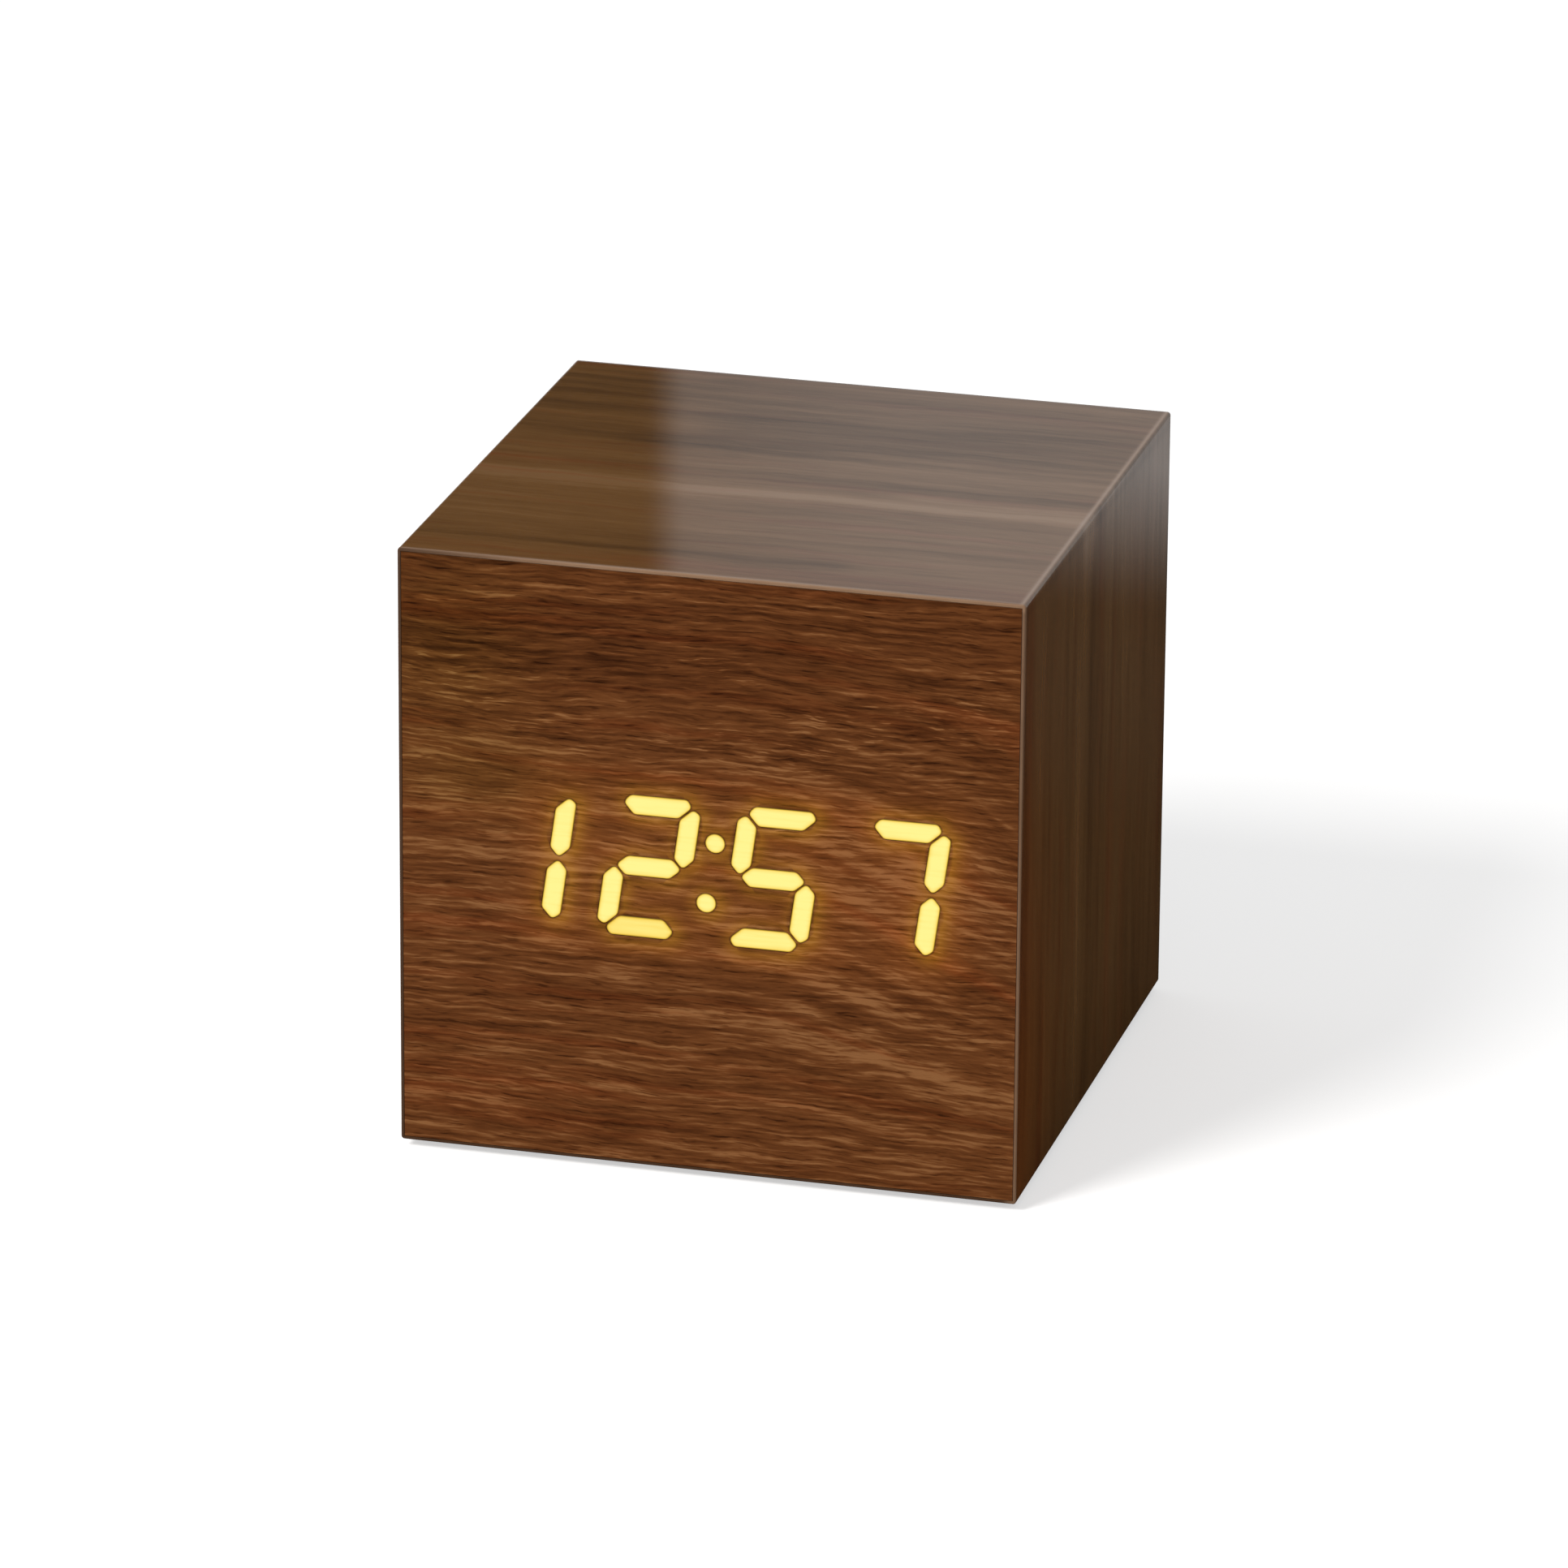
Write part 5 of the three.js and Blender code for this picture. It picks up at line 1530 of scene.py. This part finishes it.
@dataclass(frozen=True)
class Studio:
    """Floor, world, lamps and flags."""

    floor_half: float = 2200.0
    floor_colour: float = 0.8
    floor_change: float = 1.02
    floor_patch: float = 0.01
    floor_lift: float = 0.55
    ambient: float = 0.37
    lamps: Sequence[Lamp] = (
        Lamp("key", (-520, -760, 820), 460, 10, (1, 0.985, 0.96)),
    )
    flags: Sequence[Flag] = (
        Flag("flag_front", 0.3, (((-346, -900), (700, -900), 1), ((-30, -26), (700, -26), 1)), 0.03),
        Flag("flag_side", 0.4, (((26, -31), (420, -31), 1), ((26, 138), (420, 138), 1),
                                ((26, 190), (420, 190), 0.35), ((26, 600), (420, 600), 0.35)), 0.05),
        Flag("flag_top", 101.2, (((11.5, 49), (-24.5, 181), 0), ((-24.5, 49), (-60.5, 181), 0.37),
                                 ((-28.5, 48), (-64.5, 180), 1), ((-240, 0), (-240, 160), 1)), 0.09),
    )

    def build(self) -> None:
        """Sets up everything round the clock."""
        self.floor()
        self.world()
        for thing in (*self.lamps, *self.flags):
            thing.build()
        bpy.context.scene.view_settings.view_transform = "Standard"

    def floor(self) -> None:
        """Pale floor that keeps the clock's shadow and shows white to the camera and in gloss."""
        corners = np.array([(-1, -1, 0), (1, -1, 0), (1, 1, 0), (-1, 1, 0)]) * self.floor_half
        made = add_mesh("floor", corners, [[0, 1, 2, 3]], smooth=False)
        paint = Paint.material("floor")
        x, y, _ = paint.coordinates()
        tone = paint.noise(paint.point(x, y), self.floor_patch, 2)
        level = self.floor_colour
        colour = paint.mix(tone, (level,) * 3, (level * self.floor_change,) * 3)
        matt = paint.node("ShaderNodeBsdfDiffuse", inputs={"Color": colour})
        white = paint.node("ShaderNodeEmission", inputs={"Strength": self.floor_lift})
        lifted = paint.node("ShaderNodeAddShader", inputs={0: matt, 1: white})
        shown = paint.node("ShaderNodeMixShader", inputs={0: self.seen(paint), 1: matt, 2: lifted})
        paint.node("ShaderNodeOutputMaterial", inputs={"Surface": shown})
        made.data.materials.append(paint.owner)

    def seen(self, paint: Paint) -> Shade:
        """Tells the rays that see the white background.

        Args:
            paint: builder of the material or world.

        Returns:
            1 for camera, glossy and transmission rays, else 0.
        """
        camera, gloss, through = (
            paint.node("ShaderNodeLightPath", output=f"Is {kind} Ray")
            for kind in ("Camera", "Glossy", "Transmission"))
        return camera.math("MAXIMUM", camera, gloss.math("MAXIMUM", gloss, through))

    def world(self) -> None:
        """White to the camera and in gloss, and a plain level of light for everything else."""
        world = bpy.data.worlds.new("studio")
        bpy.context.scene.world = world
        paint = Paint(world)
        strength = self.ambient + self.seen(paint) * (1 - self.ambient)
        air = paint.node("ShaderNodeBackground", inputs={"Color": (1,) * 4, "Strength": strength})
        paint.node("ShaderNodeOutputWorld", inputs={"Surface": air})


@dataclass(frozen=True)
class Clock:
    """Every visible piece of the clock."""

    layout: DigitLayout = DigitLayout()
    middle: float = 30.0
    front: WalnutFinish = WalnutFinish(
        # The Zone after the fall is where the painted glints are strongest
        "walnut_front", seed=4, fall=Fall(8, 0.45, -32, 26), painted_glints=Zone(6, 17, 60, 9),
        glow=((0.068, 0.018, 0.002), (0.09, 0.052, 0)),
        zones=(Zone(0, 25, 90, 10, -0.22), Zone(-24, -18, 10, 10, 0.05),
               Zone(-26, 21, 9, 9, tint=(0.94, 1.04, 0.84)),
               Zone(-22, 8, 9, 4, 0.1, (0.98, 1.06, 0.9)),
               Zone(18, -1, 9, 7, 0.15, (1, 0.93, 0.92)), Zone(24, 11, 9, 8, 0.04)),
    )
    wrap: WalnutFinish = WalnutFinish(
        "walnut_wrap", seed=11, level=0.5, contrast=0.95, fineness=0.22, lacquer=0.62,
        lacquer_change=0.26,
        tones=((0, (0.058, 0.025, 0.007)), (0.25, (0.098, 0.044, 0.0125)),
               (0.5, (0.142, 0.065, 0.0185)), (0.75, (0.178, 0.083, 0.025)),
               (1, (0.22, 0.112, 0.042))),
        streaks=(Streak(-0.2, 1.2, -20, 34, 0.18), Streak(-5.6, 1.7, -34, 34, -0.48),
                 Streak(-2.6, 1.2, 10, 34, -0.26), Streak(-9.5, 1, -29, 10, 0.1),
                 Streak(-24.2, 1.4, -32, 12, 0.32), Streak(13.5, 6.5, -12, 34, 0.22),
                 Streak(7.5, 2, -34, -19, -0.26), Streak(27.5, 2.2, -34, -16, -0.24),
                 Streak(-2.2, 2, 34, 90, 0.14), Streak(-6.6, 1.5, 34, 90, -0.16),
                 Streak(8, 3, -30, 4, 0.12)),
        zones=(Zone(80, -26, 34, 10, tint=(1.06, 0.8, 0.58)),
               Zone(50, -29, 60, 3, -0.18, (0.98, 0.75, 0.52)), Zone(31, 0, 0.5, 90, -0.12),
               Zone(-24, 27, 16, 16, -0.16, (1, 1, 0.92)), Zone(-24, -20, 18, 22, 0.26),
               Zone(8, 30, 30, 14, -0.14, (1, 0.97, 0.94)),
               # The next two zones are painted highlights: a light line along the fold between the
               # top and the right, and along the top's front edge
               Zone(29.65, 0, 0.25, 90, 0, (0.3, 0.2, 0.14), Blend.MIX),
               Zone(6, -29.8, 32, 0.34, 0, (0.31, 0.2, 0.13), Blend.MIX)),
    )

    def build(self) -> None:
        """Builds the clock piece by piece."""
        edge = FilmEdgeFinish().build()
        FilmWrap().build(self.wrap.build(Paint.uv), edge)
        FrontFilm(self.layout).build(self.front.build(self.front_places), edge)
        LitDigits(self.layout).build(LitFinish().build())
        rubber = Finishes.RUBBER.value.build()
        for number in range(1, 5):
            Foot(f"foot_{number}").build(rubber)
        plastic = Finishes.BUTTON.value.build()
        for name in ("set", "up", "down"):
            Button(f"button_{name}", f"{name}_key").build(plastic)
        wrapping, steel = CellFinish().build(), Finishes.STEEL.value.build()
        for number, axis in enumerate((Axis.LEFT, Axis.RIGHT, Axis.LEFT), 1):
            Cell(f"battery_cell_{number}", axis).build(wrapping, steel)
        CarriedPieces().build({
            Finishes.FIBREBOARD: ("case_", "corner_block"),
            Finishes.WHITE_PLASTIC: ("display_reflector", "display_header", "key_header",
                                     "switch_stem"),
            Finishes.CIRCUIT_BOARD: ("led_board", "key_board"),
            Finishes.CHIP_PLASTIC: ("clock_chip", "buzzer", "switch_body"),
            Finishes.STEEL: ("display_screw", "key_board_screw", "rear_panel_screw", "crystal",
                             "power_socket_pin"),
            Finishes.SPRING: ("battery_spring", "positive_", "negative_", "left_link", "right_link"),
            Finishes.PANEL: ("rear_panel", "battery_door", "power_socket"),
            Finishes.RED_WIRE: ("battery_wire_red",),
            Finishes.BLACK_WIRE: ("battery_wire_black",),
            Finishes.RIBBON_WIRE: ("ribbon_cable",),
        })

    def front_places(self, paint: Paint) -> tuple[Shade, Shade]:
        """Places along and across the front's grain: X, and Z from the middle."""
        x, _, z = paint.coordinates()
        return x, z - self.middle


def main() -> None:
    """Builds the clock and its stage."""
    logging.basicConfig(level=logging.INFO)
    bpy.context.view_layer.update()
    Clock().build()
    Studio().build()
    Lens().build()


if __name__ == "__main__":
    main()
